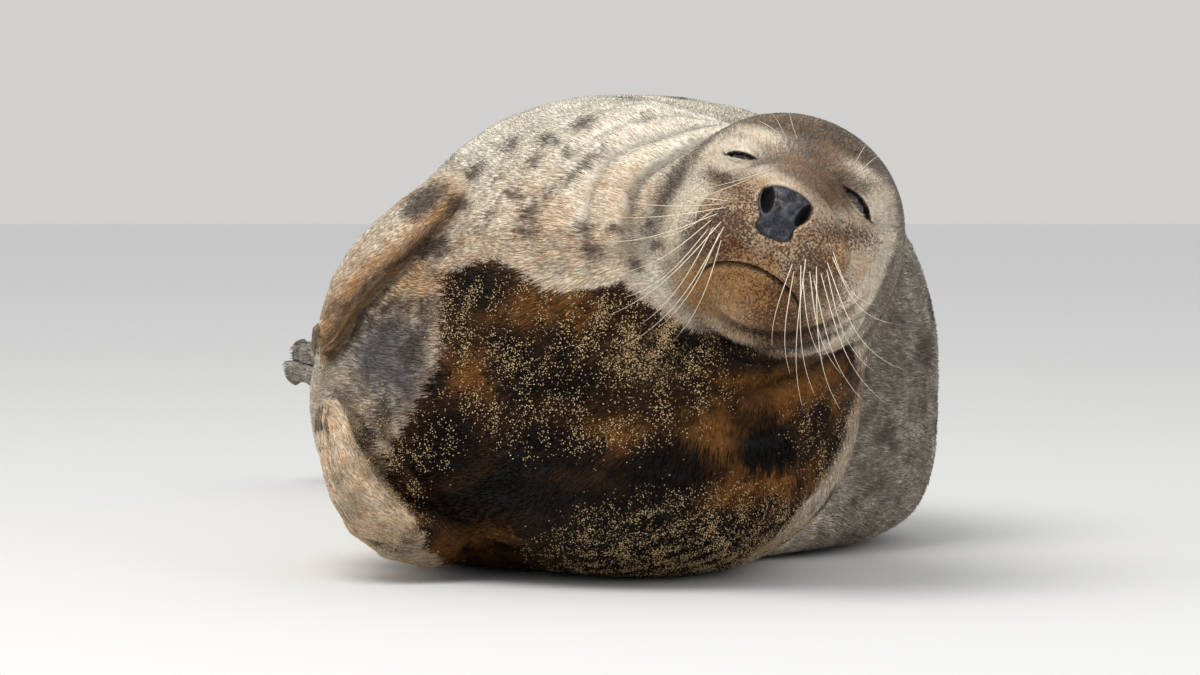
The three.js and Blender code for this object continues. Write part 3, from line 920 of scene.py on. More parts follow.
# %% The ball laid over the muzzle
def make_nose():
    tree = plain_face()
    form = bmesh.new()
    bmesh.ops.create_icosphere(form, subdivisions=6, radius=1)
    mesh = mesh_from(form, "nose_leather")
    ball = points_of(mesh)
    flat = np.minimum(np.hypot(ball[:, 0], ball[:, 2]), 1)
    middle_x, middle_z = NOSE_MIDDLE
    reach = nose_reach(middle_x + ball[:, 0], middle_z + ball[:, 2])
    reach *= flat ** 0.82 / np.maximum(flat, 1e-6)
    x = middle_x + reach * ball[:, 0]
    z = middle_z + reach * ball[:, 2]
    base = nose_base(tree, x, z)
    rise = np.where(ball[:, 1] < 0, 3.0 * (1 - flat ** 5) - 1.9, -13 * np.sqrt(1 - flat ** 2) - 1.9)
    # a shallow groove down the middle, and full wings over the nostrils
    rise -= 0.9 * bell(x - 2, 2.2) * (ball[:, 1] < 0) * ramp(-z, 50, 66)
    # how deep in a nostril a point is, for the painted shade inside it
    dark = np.zeros(len(x))
    for nostril in NOSTRILS.values():
        ring = in_nostril(x, z, nostril)
        dark = np.maximum(dark, 1 - ramp(ring, 0.95, 1.12))
        rise -= 8.5 * (1 - ramp(ring, 0.5, 1.1)) * (ball[:, 1] < 0)
        rise += 1.3 * bell(ring - 1.35, 0.25) * (ball[:, 1] < 0)
    move_points(mesh, from_head(np.stack([x, base - rise, z], 1)))
    shade_smooth(mesh)
    write_points(mesh, "nostril", dark)
    return new_thing("nose_leather", mesh)


nose_leather = make_nose()
low = points_of(nose_leather.data).min(0)
print("nose leather", len(nose_leather.data.polygons), "faces, front at", low.round(4))

# %% [markdown]
# ## Whiskers
# Each whisker is a curve that tapers to its tip. It starts in a whisker pad, leaves it outwards and
# forwards, and bends down under its own weight. The whiskers of the brows stand up, and are shorter.

# %% Where the whiskers stand
# Root: x and z in the head's frame. Tip: across and up in the front plane. Then the bow, in
# millimetres, and how far the tip stands in front of the root.
LEFT_WHISKERS = [
    (30, -100, 172, -8, -6, 34), (34, -106, 190, -36, -9, 40), (38, -98, 214, -56, -10, 44),
    (44, -108, 223, -22, -8, 30), (48, -100, 241, -36, -12, 36), (52, -92, 240, -72, -14, 38),
    (54, -104, 262, -62, -13, 28), (58, -96, 286, -66, -18, 30), (60, -84, 303, -32, -22, 34),
    (62, -90, 274, -34, -15, 24), (62, -76, 293, 14, -18, 26), (60, -70, 276, 32, -14, 18),
    (40, -90, 202, -68, -10, 46),
]
RIGHT_WHISKERS = [
    (-52, -72, 0, 122, 6, 24), (-56, -80, -6, 96, 10, 20), (-50, -86, 8, 22, 12, 34),
    (-56, -94, 42, 14, 10, 24), (-48, -98, 58, 10, 10, 30), (-44, -104, 78, 2, 8, 30),
    (-60, -88, 14, 64, 12, 12), (-58, -70, 28, 136, 4, 18), (-60, -98, 24, 40, 12, 8),
    (-52, -64, 72, 148, 3, 16), (-46, -92, 32, -4, 14, 40), (-62, -78, 50, 100, 8, 10),
]
BROW_WHISKERS = [
    (-30, 34, 170, 226, -2, 6), (-18, 36, 188, 231, 1, 8), (44, 38, 268, 195, 1, 8),
    (52, 30, 280, 182, 2, 8), (-38, 36, 156, 217, -2, 6), (50, 24, 276, 168, 3, 8),
]
BRIDGE_WHISKERS = [
    (-24, -14, 90, 146, 2, 8), (-40, -30, 68, 132, 3, 8),
]
print("whiskers", len(LEFT_WHISKERS), "left and", len(RIGHT_WHISKERS), "right")

# %% From a front place to a point of the room, and back
def front_place(across, upward, depth):
    """The place at a depth behind the camera's target that is seen at a front place."""
    level, lift = math.cos(CAMERA_LIFT), math.sin(CAMERA_LIFT)
    grow = (CAMERA_FAR + depth) / CAMERA_FAR
    right = Vector((1, 0, 0)) * across * grow * MM
    up = Vector((0, lift, level)) * upward * grow * MM
    back = Vector((0, level, -lift)) * depth
    return TARGET + right + up + back


def depth_of(place):
    offset = place - TARGET
    return offset.y * math.cos(CAMERA_LIFT) - offset.z * math.sin(CAMERA_LIFT)


print("the head stands", round(depth_of(HEAD_PLACE), 3), "m behind the middle of the view")

# %% Grow the whiskers
def make_whiskers(name, whiskers, thick, tree):
    curve = bpy.data.curves.new(name, "CURVE")
    curve.dimensions = "3D"
    curve.bevel_depth = thick
    curve.bevel_resolution = 1
    curve.use_fill_caps = True
    steps = 14
    for x, z, across, upward, bow, ahead in whiskers:
        root = HEAD @ (Vector((x, face_depth(tree, x, z) + 1.5, z)) * MM)
        tip = front_place(across, upward, depth_of(root) - ahead * MM)
        way = tip - root
        side = way.cross(Vector((0, 1, 0))).normalized()
        spline = curve.splines.new("POLY")
        spline.points.add(steps)
        for step in range(steps + 1):
            share = step / steps
            place = root + way * share + side * 2.6 * bow * MM * share * (1 - share) * (0.6 + share)
            place += Vector((0, -1, 0)) * 0.10 * way.length * math.sin(math.pi * min(share * 1.3, 1))
            spline.points[step].co = (*place, 1)
            spline.points[step].radius = 1 - 0.82 * share ** 1.3
    holder = new_thing(name + "_curve", curve)
    bpy.context.view_layer.update()
    evaluated = holder.evaluated_get(bpy.context.evaluated_depsgraph_get())
    mesh = bpy.data.meshes.new_from_object(evaluated)
    bpy.data.objects.remove(holder)
    mesh.name = name
    return new_thing(name, mesh)


skin_tree = tree_of(skin.data)
whiskers = make_whiskers("whiskers", LEFT_WHISKERS + RIGHT_WHISKERS, 0.5 * MM, skin_tree)
brow_whiskers = make_whiskers("brow_whiskers", BROW_WHISKERS + BRIDGE_WHISKERS, 0.42 * MM, skin_tree)
print("whiskers", len(whiskers.data.polygons), "faces", seconds())

# %% [markdown]
# ## Where the markings lie
# A grey seal has a darker back, a pale belly, and dark blotches of its own. Here the breast is also
# wet, with an uneven dry edge, and sand sticks to it. Each kind of marking is a plain number at every
# point of the skin: how deep inside a blotch it is, how wet, how tan. Both the skin and each tuft of
# the coat carry these numbers, so the two always match, and the shader only has to turn them into
# colour. Front places are upright and across, in millimetres, from the middle of the view.

# %% Blotches: across, up, half length, half width, lean in degrees
DARK_MARKS = [
    (-16, 167, 34, 7, 46), (-10, 213, 17, 8, 30), (-49, 198, 10, 8, 20), (-37, 194, 8, 6, 0),
    (-25, 184, 10, 6, 30), (-59, 177, 13, 7, 50), (-82, 143, 12, 8, 0), (-65, 126, 15, 10, 70),
    (-69, 106, 12, 9, 0), (-12, 108, 10, 9, 0), (18, 108, 9, 7, 0), (-4, 88, 18, 9, -20),
    (-122, 165, 13, 7, 40), (-86, 192, 11, 6, 40), (-139, 135, 14, 10, 0), (52, 218, 15, 4, 10),
    (96, 233, 13, 5, -8), (-163, 90, 24, 14, 20), (-172, 138, 30, 14, 35), (50, 112, 7, 14, 10),
    (58, 92, 9, 6, 0), (36, 74, 12, 7, -30), (-108, 122, 8, 5, 60), (-98, 160, 9, 4, 40),
    (-40, 150, 13, 4, 48), (-118, 108, 7, 6, 0), (-150, 176, 10, 5, 38), (10, 186, 8, 4, 40),
]
# painted shadow: a dark line along the lower edge of the upper foreflipper, painted as a blotch
FLIPPER_SHADE = [(-145, 132), (-180, 88), (-220, 66), (-255, 28), (-270, -8)]
DUSKY_FLANK = [(-176, 92), (-136, 70), (-134, 0), (-146, -44), (-186, -104), (-208, -150),
               (-300, -96), (-316, -10), (-262, 2), (-216, 50)]
FLANK_MARKS = [(262, -40, 16, 7, 70), (280, -96, 22, 9, 60), (300, -30, 14, 7, 80),
               (306, -120, 12, 8, 40), (270, -150, 20, 8, 40), (322, -70, 16, 6, 80),
               (290, 20, 14, 6, 70), (246, -196, 18, 7, 30)]
BREAST_MARKS = [(168, -107, 31, 22, 25), (220, -72, 18, 9, 60), (236, -104, 20, 8, 55),
                (196, -62, 8, 5, 20), (250, -60, 12, 6, 60)]
NECK_SHADE = [(-26, 86, 80, 36, 0), (-90, 92, 38, 24, 0)]
print("blotches", len(DARK_MARKS) + len(FLANK_MARKS) + len(BREAST_MARKS))

# %% The wet breast and the sand on it; the last number of sand is how thickly it lies
SLATE_PATCH = [(-205, -18, 42, 46, 0), (-180, -60, 22, 30, 0)]
BLACK_WET = [(-30, -46, 40, 16, 0), (66, -132, 46, 38, 10), (-10, -176, 100, 30, 0),
             (-40, -110, 50, 22, 0), (-80, -30, 26, 34, 20), (-96, -160, 60, 22, 8),
             (-150, -110, 30, 34, 0), (20, -196, 90, 22, 0), (120, -14, 50, 12, -8),
             (120, -188, 34, 18, 20), (-120, 44, 30, 20, 0)]
TAN_WET = [(20, -96, 34, 22, 0), (190, -44, 74, 30, -6), (156, -146, 56, 18, 12),
           (-110, -34, 36, 24, 0), (110, -92, 30, 26, 0), (-90, -196, 60, 18, 10), (-60, 30, 60, 16, 0)]
TAN_DRY = [(-30, 92, 90, 34, 0), (-150, 100, 52, 44, 0), (-190, 46, 40, 30, 30), (-60, 120, 46, 60, 0),
           (-110, -210, 70, 34, 8), (22, 130, 40, 44, 0)]
WET_EDGE = [(-158, 66), (-130, 76), (-100, 80), (-78, 72), (-55, 54), (-25, 50), (0, 56),
            (28, 60), (50, 38), (82, 18), (120, 4), (190, -4), (252, 24), (262, -40), (236, -120),
            (190, -186), (126, -240), (-100, -262), (-170, -214), (-206, -150), (-212, -112),
            (-196, -90), (-160, -32), (-154, 8)]
SAND = [(52, -16, 66, 46, 0, 1.0), (-216, -150, 40, 84, 10, 0.8), (-10, -40, 150, 84, 0, 0.5),
        (90, -196, 150, 52, 4, 0.7), (222, -100, 44, 52, 0, 0.35), (116, -4, 50, 26, 0, 0.7),
        (-232, -150, 44, 84, 10, 0.62), (140, 64, 44, 22, 0, 0.16), (-130, 20, 40, 50, 0, 0.6),
        (-60, 46, 84, 14, 0, 0.75), (-176, -110, 34, 34, 40, 0.7), (10, 34, 60, 16, -6, 0.8)]
print("wet edge", len(WET_EDGE), "corners, sand in", len(SAND), "patches")

# %% How deep a place is inside a blotch or an outline
def inside_marks(u, v, marks):
    """Millimetres inside the nearest of some blotches; less than zero outside all of them."""
    depth = np.full(len(u), -60.0)
    for across, upward, long, wide, lean in (mark[:5] for mark in marks):
        c, s = math.cos(math.radians(lean)), math.sin(math.radians(lean))
        du, dv = u - across, v - upward
        reach = np.hypot((du * c + dv * s) / long, (dv * c - du * s) / wide)
        depth = np.maximum(depth, (1 - reach) * min(long, wide))
    return depth


def inside_outline(u, v, corners):
    """Signed millimetres inside a closed outline."""
    ring = corners + corners[:1]
    distance = to_line(u, v, ring)
    crossings = np.zeros(len(u), dtype=int)
    for (u0, v0), (u1, v1) in zip(ring[:-1], ring[1:]):
        spans = (v0 > v) != (v1 > v)
        at = u0 + (v - v0) * (u1 - u0) / (v1 - v0 if v1 != v0 else 1e-9)
        crossings += spans & (u < at)
    return np.where(crossings % 2 == 1, distance, -distance)


print("deepest in the wet", round(float(inside_outline(np.zeros(1), np.zeros(1) - 90, WET_EDGE)[0])))

# %% The face: x, z, half sizes and lean in the head's frame
FACE_PALE = [(-106, -16, 22, 62, 0), (94, -48, 24, 62, 0), (30, -58, 20, 22, 0), (-46, 25, 36, 8, -4),
             (46, 30, 28, 9, 4), (-76, -6, 26, 24, 0), (79, 4, 12, 30, -8), (-46, -46, 26, 15, -36),
             (47, -42, 26, 15, 36), (74, -34, 16, 30, 0), (-24, -30, 22, 8, -30),
             (-92, -60, 16, 40, 0), (-60, 8, 16, 12, 0)]
FACE_DARK = [(-46, -94, 26, 22, 0), (50, -94, 22, 18, 0), (6, 22, 30, 10, 0), (0, 58, 80, 18, 0),
             (38, 6, 12, 18, 0), (46, -150, 26, 16, 0), (30, -128, 14, 8, 20), (-58, -40, 30, 4, -36),
             (62, -44, 30, 4, 46)]
FACE_RUST = [(10, -2, 30, 15, 0), (28, -20, 16, 12, 30), (22, 30, 18, 10, 0)]
CHIN_TAN = [(-6, -134, 42, 20, 0), (-46, -138, 20, 18, 0)]
CHEEK_TAN = [(80, -70, 22, 44, 0), (66, -20, 14, 12, 0)]
print("marks of the face", len(FACE_PALE) + len(FACE_DARK) + len(FACE_RUST))

# %% How far down the body a point is
def body_axis():
    """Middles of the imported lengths, from the skull to the tail."""
    names = ["head", "neck", "chest", "trunk_front", "trunk_middle", "trunk_rear", "rump", "tail"]
    return np.array([np.mean(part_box(name), axis=0) for name in names])


AXIS = body_axis()


def along_axis(points):
    """How far down the body a point is, in lengths, and the middle and the way to the tail there."""
    steps = AXIS[1:] - AXIS[:-1]
    best = np.full(len(points), 1e9)
    place = np.zeros(len(points))
    middle = np.zeros((len(points), 3))
    way = np.zeros((len(points), 3))
    for index, (start, step) in enumerate(zip(AXIS[:-1], steps)):
        share = np.clip((points - start) @ step / (step @ step), 0, 1)
        at = start + share[:, None] * step
        far = np.linalg.norm(points - at, axis=1)
        nearer = far < best
        best = np.where(nearer, far, best)
        place = np.where(nearer, index + share, place)
        middle[nearer] = at[nearer]
        way[nearer] = step / np.linalg.norm(step)
    return place, middle, way


print("lengths of the body", len(AXIS) - 1)

# %% What every marking asks of a place
def places_on(points, normals, rest):
    """Front places u and v, places x, y and z on the head at rest, and shares of the body."""
    at = SimpleNamespace(points=points, rest=rest)
    at.u, at.v = from_the_front(points)
    at.x, at.y, at.z = rest.T
    at.facing = ramp(-normals[:, 1], -0.15, 0.25)
    at.seen_chest = at.facing * ramp(-points[:, 1], 0.28, 0.40)
    at.on_head = near_head(points, 118, 150)
    at.face = at.on_head * (1 - ramp(at.y, 20, 70))
    at.muzzle = ramp(muzzle_edge(at.x, at.z), -4, 12) * at.face
    at.muzzle *= ramp(-at.z, 16, 34) * (1 - ramp(-at.z, 108, 118))
    at.upper = limb_share_of(points, FLIPPERS[:1], 14 * MM)
    at.lower = limb_share_of(points, FLIPPERS[1:2], 14 * MM)
    at.hind = limb_share_of(points, FLIPPERS[2:], 14 * MM) * ramp(points[:, 1], 0.58, 0.78)
    at.under_flipper = to_line(at.u, at.v, FLIPPER_SHADE)
    # the side of the upper foreflipper towards its shadow line: browner fur, and painted shade
    at.brown_side = at.upper * ramp(at.under_flipper, 34, 6) * at.facing
    # the dusky flank between the two foreflippers
    at.dusky = ramp(inside_outline(at.u, at.v, DUSKY_FLANK), -8, 18) * at.seen_chest
    return at


SKIN_POINTS = points_of(mesh)
SKIN_NORMALS = normals_of(mesh)
PLACES = places_on(SKIN_POINTS, SKIN_NORMALS, REST)
print("points on the face", int((PLACES.face > 0.5).sum()))

# %% Dark blotches, the wet, and the slate grey of the wet armpit and the hind flippers
def blotches(at):
    """Millimetres inside the nearest blotch: known ones in front, and random ones elsewhere.
    The shadow under the upper foreflipper is a painted shadow line, kept as one more blotch.
    """
    wild = waves(at.points * np.array((1, 0.7, 1)), 0.085, 21, 2)
    small = waves(at.points * np.array((1, 0.6, 1)), 0.042, 23, 2)
    wild_size = waves(at.points, 0.3, 22, 1)
    spot = np.maximum((wild - 0.74 + 0.3 * wild_size) * 15, (small - 0.98 - 0.25 * wild_size) * 9)
    spot -= 40 * at.on_head
    seen = at.seen_chest * ramp(at.v, 40, 62)
    spot = spot * (1 - seen) + seen * inside_marks(at.u, at.v, DARK_MARKS)
    low = inside_marks(at.u, at.v, BREAST_MARKS + FLANK_MARKS)
    spot = np.where(at.facing > 0.4, np.maximum(spot, low), spot)
    # the painted shadow line along the lower edge of the upper foreflipper
    return np.maximum(spot, (4 - at.under_flipper) * at.seen_chest - 20 * (1 - at.facing))


def wetness(at):
    """Millimetres inside the wet edge, on the breast only."""
    wet = inside_outline(at.u, at.v, WET_EDGE)
    near = at.points[:, 1] < np.where(at.u > 180, -0.44, -0.30)
    wet = np.where((at.facing > 0.15) & near, wet, -30)
    return np.minimum(wet, -(at.z + 172) + 80 * (1 - at.on_head))


def slate_grey(at):
    slate = inside_marks(at.u, at.v, SLATE_PATCH) * at.facing - 30 * (1 - at.facing)
    return np.maximum(slate, 24 * at.hind - 20)


print("points that are wet", int((wetness(PLACES) > 0).sum()))

# %% How pale or dark the fur is
def trunk_tone(at):
    """Zero is darkest. The dark back, seen from the sides, fades into the pale belly."""
    _, middle, _ = along_axis(at.points)
    arm = at.points - middle
    back = arm[:, 0] / np.maximum(np.linalg.norm(arm, axis=1), 0.05)
    tone = 1 - 0.60 * ramp(back + 0.16 * waves(at.points, 0.3, 11), 0.05, 0.75)
    front_tone = 0.95 - 0.66 * ramp(at.u + 10 * waves(at.points, 0.1, 12), 214, 286)
    tone += (np.minimum(front_tone, 1) - tone) * at.seen_chest
    tone *= 1 - 0.45 * at.hind
    tone -= 0.40 * at.dusky
    tone -= 0.40 * ramp(inside_marks(at.u, at.v, NECK_SHADE), -8, 20) * at.seen_chest
    # the upper foreflipper is pale, with painted shade on its lower side
    tone = tone * (1 - at.upper) + at.upper * (0.84 - 0.36 * at.brown_side)
    return tone * (1 - at.lower) + 0.60 * at.lower


def head_tone(at):
    """A grey crown, pale brows and lids, and dark whisker pads."""
    tone = 0.31 + 0.56 * at.muzzle + 0.20 * ramp(-at.z, 60, 110)
    pale = ramp(inside_marks(at.x, at.z, FACE_PALE), -12, 12)
    tone += 0.56 * pale * at.face * (1 - 0.6 * at.muzzle)
    tone -= 0.38 * ramp(inside_marks(at.x, at.z, FACE_DARK), -14, 12) * at.face
    return np.clip(tone, 0, 1)


print("mean tone", head_tone(PLACES).mean().round(2), "head", trunk_tone(PLACES).mean().round(2), "body")

# %% Tan, sand and specks
def tan_share(at, wet):
    tan = ramp(inside_marks(at.u, at.v, TAN_DRY), -30, 30) * at.facing * 0.48
    damp = ramp(inside_marks(at.u, at.v, TAN_WET), -22, 22) * at.facing * (wet > -12)
    tan = np.maximum(np.maximum(tan, damp), at.dusky * (0.28 + 0.4 * ramp(at.v, -20, 60)))
    tan = tan * (1 - at.upper) + at.upper * (0.38 + 0.36 * at.brown_side)
    tan = tan * (1 - at.lower) + 0.46 * at.lower
    chin = ramp(inside_marks(at.x, at.z, CHIN_TAN), -26, 18)
    cheek = ramp(inside_marks(at.x, at.z, CHEEK_TAN), -16, 20)
    face_tan = 0.24 + 0.36 * at.muzzle + 0.76 * chin + 0.30 * cheek
    return tan * (1 - at.face) + np.minimum(face_tan, 1) * at.face


def sand_share(at):
    sand = np.zeros(len(at.u))
    for patch in SAND:
        sand = np.maximum(sand, patch[5] * ramp(inside_marks(at.u, at.v, [patch]), -16, 26))
    near = ramp(-at.points[:, 1], np.where(at.u > 180, 0.40, 0.15), 0.46)
    return sand * at.facing * (1 - 0.75 * at.on_head) * near


def speckles(at):
    """Where the short hairs of the face are speckled dark and pale."""
    share = (0.35 + 0.65 * ramp(inside_marks(at.x, at.z, FACE_DARK), -30, 10)) * at.face
    return share * ramp(-at.z, 8, 30)


print("points under sand", int((sand_share(PLACES) > 0.3).sum()))

# %% Bare dark skin at the lips and the lids, painted shade in the throat folds and the ear pits
def bare_skin_and_fold_shade(at):
    bare = bell(above_mouth(at.x, at.z), 1.7)
    bare *= (1 - ramp(abs(at.x), MOUTH_REACH - 4, MOUTH_REACH + 4)) * (at.y < -8) * at.face
    ring = nose_ring(at.x, at.z)
    bare = np.maximum(bare, (1 - ramp(ring, 0.98, 1.1)) * (at.y < -60) * at.face)
    # painted shade: a dark line along the crease of each throat fold
    for fold in THROAT_FOLDS:
        line, share = fold_line(at.points, fold)
        bare = np.maximum(bare, 0.85 * bell(line + 1, 0.8 * fold["wide"]) * share)
    for eye in EYES.values():
        along, across, out = eye_places(at.rest, eye)
        edge = abs(across) - slit_half(along, eye)
        rim = (1 - ramp(edge, 0.8, 2.8)) * (1 - ramp(abs(along), eye["long"] + 2, eye["long"] + 7))
        bare = np.maximum(bare, rim * (out > 0) * at.face)
    # painted shade: the ear pits are painted dark
    return np.maximum(bare, 0.8 * (1 - ramp(ear_pit(at.rest), 2, 5)))


print("points of bare skin", int((bare_skin_and_fold_shade(PLACES) > 0.5).sum()))

# %% Every marking at every point
def depth_share(millimetres):
    """A depth inside an outline, from -1 at 20 mm outside to 1 at 20 mm inside."""
    return np.clip(millimetres / 20, -1, 1)


def markings(at):
    wet = wetness(at)
    tone = trunk_tone(at) * (1 - at.on_head) + head_tone(at) * at.on_head
    black = inside_marks(at.u, at.v, BLACK_WET)
    rust = ramp(inside_marks(at.x, at.z, FACE_RUST), -8, 10) * at.face
    return {
        "marks": np.stack([tone, depth_share(blotches(at)), depth_share(wet)], 1),
        "tints": np.stack([tan_share(at, wet), sand_share(at), depth_share(black)], 1),
        # bare dark skin with painted shade in the throat folds and ear pits, then rust and slate grey
        "bare": np.stack([bare_skin_and_fold_shade(at), rust, depth_share(slate_grey(at))], 1),
    }


skin_marks = markings(PLACES)
print("marks", list(skin_marks))

# %% Hollows for painted shade, and a grid along the fur
def hollows(mesh, rounds):
    """Millimetres that the skin lies below its surroundings; less than zero on a rise."""
    points = points_of(mesh)
    return np.sum(normals_of(mesh) * (smoothed(mesh, points, 0.5, rounds) - points), axis=1) / MM


NOSE_TIP = np.array((1.0, -116.0, -58.0))


def fur_grid(points):
    """Metres along the coat and round it, so that a streaked pattern can follow its lie."""
    head_points = to_head(points) * MM
    place, middle, _ = along_axis(points)
    arm = points - middle
    round_body = np.arctan2(arm[:, 0], arm[:, 2]) * 0.25
    along_body = place * 0.25
    from_nose = head_points - NOSE_TIP * MM
    round_nose = np.arctan2(from_nose[:, 0], from_nose[:, 2]) * 0.10
    along_head = np.linalg.norm(from_nose, axis=1)
    head = near_head(points, 130, 200)
    return np.stack([along_body * (1 - head) + along_head * head,
                     round_body * (1 - head) + round_nose * head, 0 * head], 1)


LIE = fur_grid(SKIN_POINTS)
LIE[:, 2] = speckles(PLACES)
# painted shade: the hide paint darkens the skin and the coat in hollows, and lightens rises a little
hollow = np.clip(0.45 * hollows(mesh, 5) + 0.16 * hollows(mesh, 40), -1, 1)
HOLLOW_SHADE = np.stack([hollow, 0 * hollow, 0 * hollow], 1)
for name, values in {**skin_marks, "lie": LIE, "form": HOLLOW_SHADE}.items():
    write_points(mesh, name, values)
print("marked", seconds())

# %% [markdown]
# ## Turning markings into colour
# One node group paints both the skin and the coat. It reads the numbers carried by the mesh, breaks
# their edges up with noise in the object's own space, and gives out a colour, a roughness and a
# height. Wet fur is darker and shinier than dry fur, because water fills the gaps between the hairs.

# %% Small helpers for node graphs
def tint(red, green, blue):
    """A colour written as it would look on a screen, turned into linear light."""
    return (*[((c / 255 + 0.055) / 1.055) ** 2.4 if c > 10 else c / 3295 for c in (red, green, blue)], 1)


class Graph:
    """Adds nodes to a tree, and links or sets each of their inputs by name."""

    def __init__(self, tree):
        self.tree = tree

    def add(self, kind, inputs=None, **settings):
        node = self.tree.nodes.new(kind)
        for key, value in settings.items():
            setattr(node, key, value)
        for key, value in (inputs or {}).items():
            self.feed(node.inputs[key], value)
        return node

    def feed(self, socket, value):
        if isinstance(value, bpy.types.NodeSocket):
            self.tree.links.new(value, socket)
        else:
            socket.default_value = value

    def math(self, operation, first, second=0.0, clamp=False):
        node = self.add("ShaderNodeMath", {0: first, 1: second}, operation=operation)
        node.use_clamp = clamp
        return node.outputs[0]

    def total(self, *terms):
        """Adds up terms, each a value or a pair of a value and its weight."""
        parts = [self.math("MULTIPLY", *term) if isinstance(term, tuple) else term for term in terms]
        whole = parts[0]
        for part in parts[1:]:
            whole = self.math("ADD", whole, part)
        return whole

    def soft_step(self, value, low, high, start=0.0, end=1.0):
        node = self.add("ShaderNodeMapRange", {"Value": value, "From Min": low, "From Max": high,
                                               "To Min": start, "To Max": end},
                        interpolation_type="SMOOTHSTEP")
        return node.outputs["Result"]

    def mix(self, share, first, second, blend="MIX"):
        node = self.add("ShaderNodeMix", data_type="RGBA", blend_type=blend, clamp_factor=True)
        for socket, value in zip((node.inputs[0], node.inputs[6], node.inputs[7]),
                                 (share, first, second)):
            self.feed(socket, value)
        return node.outputs[2]

    def noise(self, where, scale, detail=2.0, rough=0.5):
        """Smooth noise about zero, between about -0.5 and 0.5."""
        node = self.add("ShaderNodeTexNoise", {"Vector": where, "Scale": scale, "Detail": detail,
                                               "Roughness": rough})
        return self.math("SUBTRACT", node.outputs["Fac"], 0.5)

    def carried(self, name):
        node = self.add("ShaderNodeAttribute", attribute_name=name)
        split = self.add("ShaderNodeSeparateXYZ", {0: node.outputs["Vector"]})
        return split.outputs


print("a mid grey in linear light", round(tint(128, 128, 128)[0], 3))

# %% A node group with named inputs and outputs
def new_group(name, inputs, outputs):
    tree = bpy.data.node_groups.new(name, "ShaderNodeTree")
    for title, kind, value in inputs:
        socket = tree.interface.new_socket(title, in_out="INPUT", socket_type=kind)
        socket.default_value = value
    for title, kind in outputs:
        tree.interface.new_socket(title, in_out="OUTPUT", socket_type=kind)
    graph = Graph(tree)
    return graph, graph.add("NodeGroupInput").outputs, graph.add("NodeGroupOutput").inputs


print("node groups so far", len(bpy.data.node_groups))

# %% The seal's colours
HIDE = {
    "cream": tint(232, 221, 201), "sun": tint(244, 237, 222), "back": tint(132, 122, 110),
    "deep": tint(86, 78, 71), "blotch": tint(84, 74, 68), "tan": tint(190, 142, 90),
    # the blotch colour also paints the shadow line under the upper foreflipper
    "rust": tint(146, 110, 82), "wet": tint(50, 31, 17), "wet_tan": tint(140, 92, 44),
    "black": tint(12, 9, 7), "slate": tint(74, 76, 84), "dry_edge": tint(196, 164, 138),
    # the dark colour of the lips also serves as painted shade in the throat folds and the ear pits
    "sand": tint(226, 198, 148), "lip": tint(26, 21, 20), "speckle": tint(84, 52, 40),
}


print("colours", len(HIDE))

# %% What the hide is painted from
def hide_sources(graph):
    """The marks that the mesh carries, and noises of several sizes to break their edges."""
    at = SimpleNamespace()
    at.tone, at.spot, at.wet = graph.carried("marks")
    at.tan, at.sand, at.black = graph.carried("tints")
    at.bare, at.rust, at.slate = graph.carried("bare")
    along, around, at.speckled = graph.carried("lie")
    at.chance, at.tip, at.is_tuft = graph.carried("strand")
    # how deep the skin lies in a hollow, for the painted shade in hollows
    at.hollow = graph.carried("form")[0]
    where = graph.add("ShaderNodeTexCoord").outputs["Object"]
    at.cloud = graph.noise(where, 30, 3)
    at.patch = graph.noise(where, 90, 3, 0.6)
    at.fleck = graph.noise(where, 420, 2, 0.6)
    lie = graph.add("ShaderNodeCombineXYZ", {0: graph.math("MULTIPLY", along, 0.14), 1: around})
    at.streak = graph.noise(lie.outputs[0], 520, 2, 0.6)
    at.ragged = graph.total((at.patch, 0.9), (at.fleck, 0.6), (at.streak, 0.5))
    at.edge = graph.total(at.spot, (at.ragged, 0.8))
    at.damp = graph.total(at.wet, (at.ragged, 0.7))
    at.wetness = graph.soft_step(at.damp, -0.02, 0.28)
    return at


def only_where(graph, share, mark, full):
    """Keeps a share out of the places that do not carry the mark at all."""
    return graph.math("MULTIPLY", share, graph.soft_step(mark, 0.0, full))


print("marks carried by the mesh", [a.name for a in mesh.attributes if a.name in (*skin_marks, "lie")])

# %% Dry hide
def dry_hide(graph, at):
    """From the dark back to cream, then tan, rust, slate, blotches and the specks of the muzzle."""
    level = graph.total(at.tone, (at.cloud, 0.45), (at.fleck, 0.45), (at.streak, 0.55), (at.chance, 0.05))
    colour = graph.mix(graph.soft_step(level, -0.15, 0.32), HIDE["deep"], HIDE["back"])
    colour = graph.mix(graph.soft_step(level, 0.25, 0.80), colour, HIDE["cream"])
    colour = graph.mix(graph.soft_step(level, 0.8, 1.25), colour, HIDE["sun"])
    tan = graph.total(at.tan, (at.patch, 0.9), (at.streak, 0.5), (at.cloud, 0.7))
    tan = only_where(graph, graph.soft_step(tan, 0.0, 1.15), at.tan, 0.1)
    colour = graph.mix(tan, colour, HIDE["tan"])
    colour = graph.mix(graph.math("MULTIPLY", at.rust, 0.6), colour, HIDE["rust"])
    slate = graph.soft_step(graph.total(at.slate, (at.ragged, 1.3), (at.cloud, 1.0)), -0.7, 1.0)
    colour = graph.mix(graph.math("MULTIPLY", slate, 0.85), colour, HIDE["slate"])
    # blotches, and the painted shadow line under the upper foreflipper
    colour = graph.mix(graph.soft_step(at.edge, -0.15, 0.34, 0.0, 0.85), colour, HIDE["blotch"])
    specks = graph.total(at.speckled, (at.fleck, 2.6), (at.chance, 0.12))
    specks = only_where(graph, graph.soft_step(specks, 0.60, 1.0, 0.0, 0.88), at.speckled, 0.15)
    return graph.mix(specks, colour, HIDE["speckle"])


print("dry red runs from", round(HIDE["deep"][0], 2), "to", round(HIDE["sun"][0], 2))

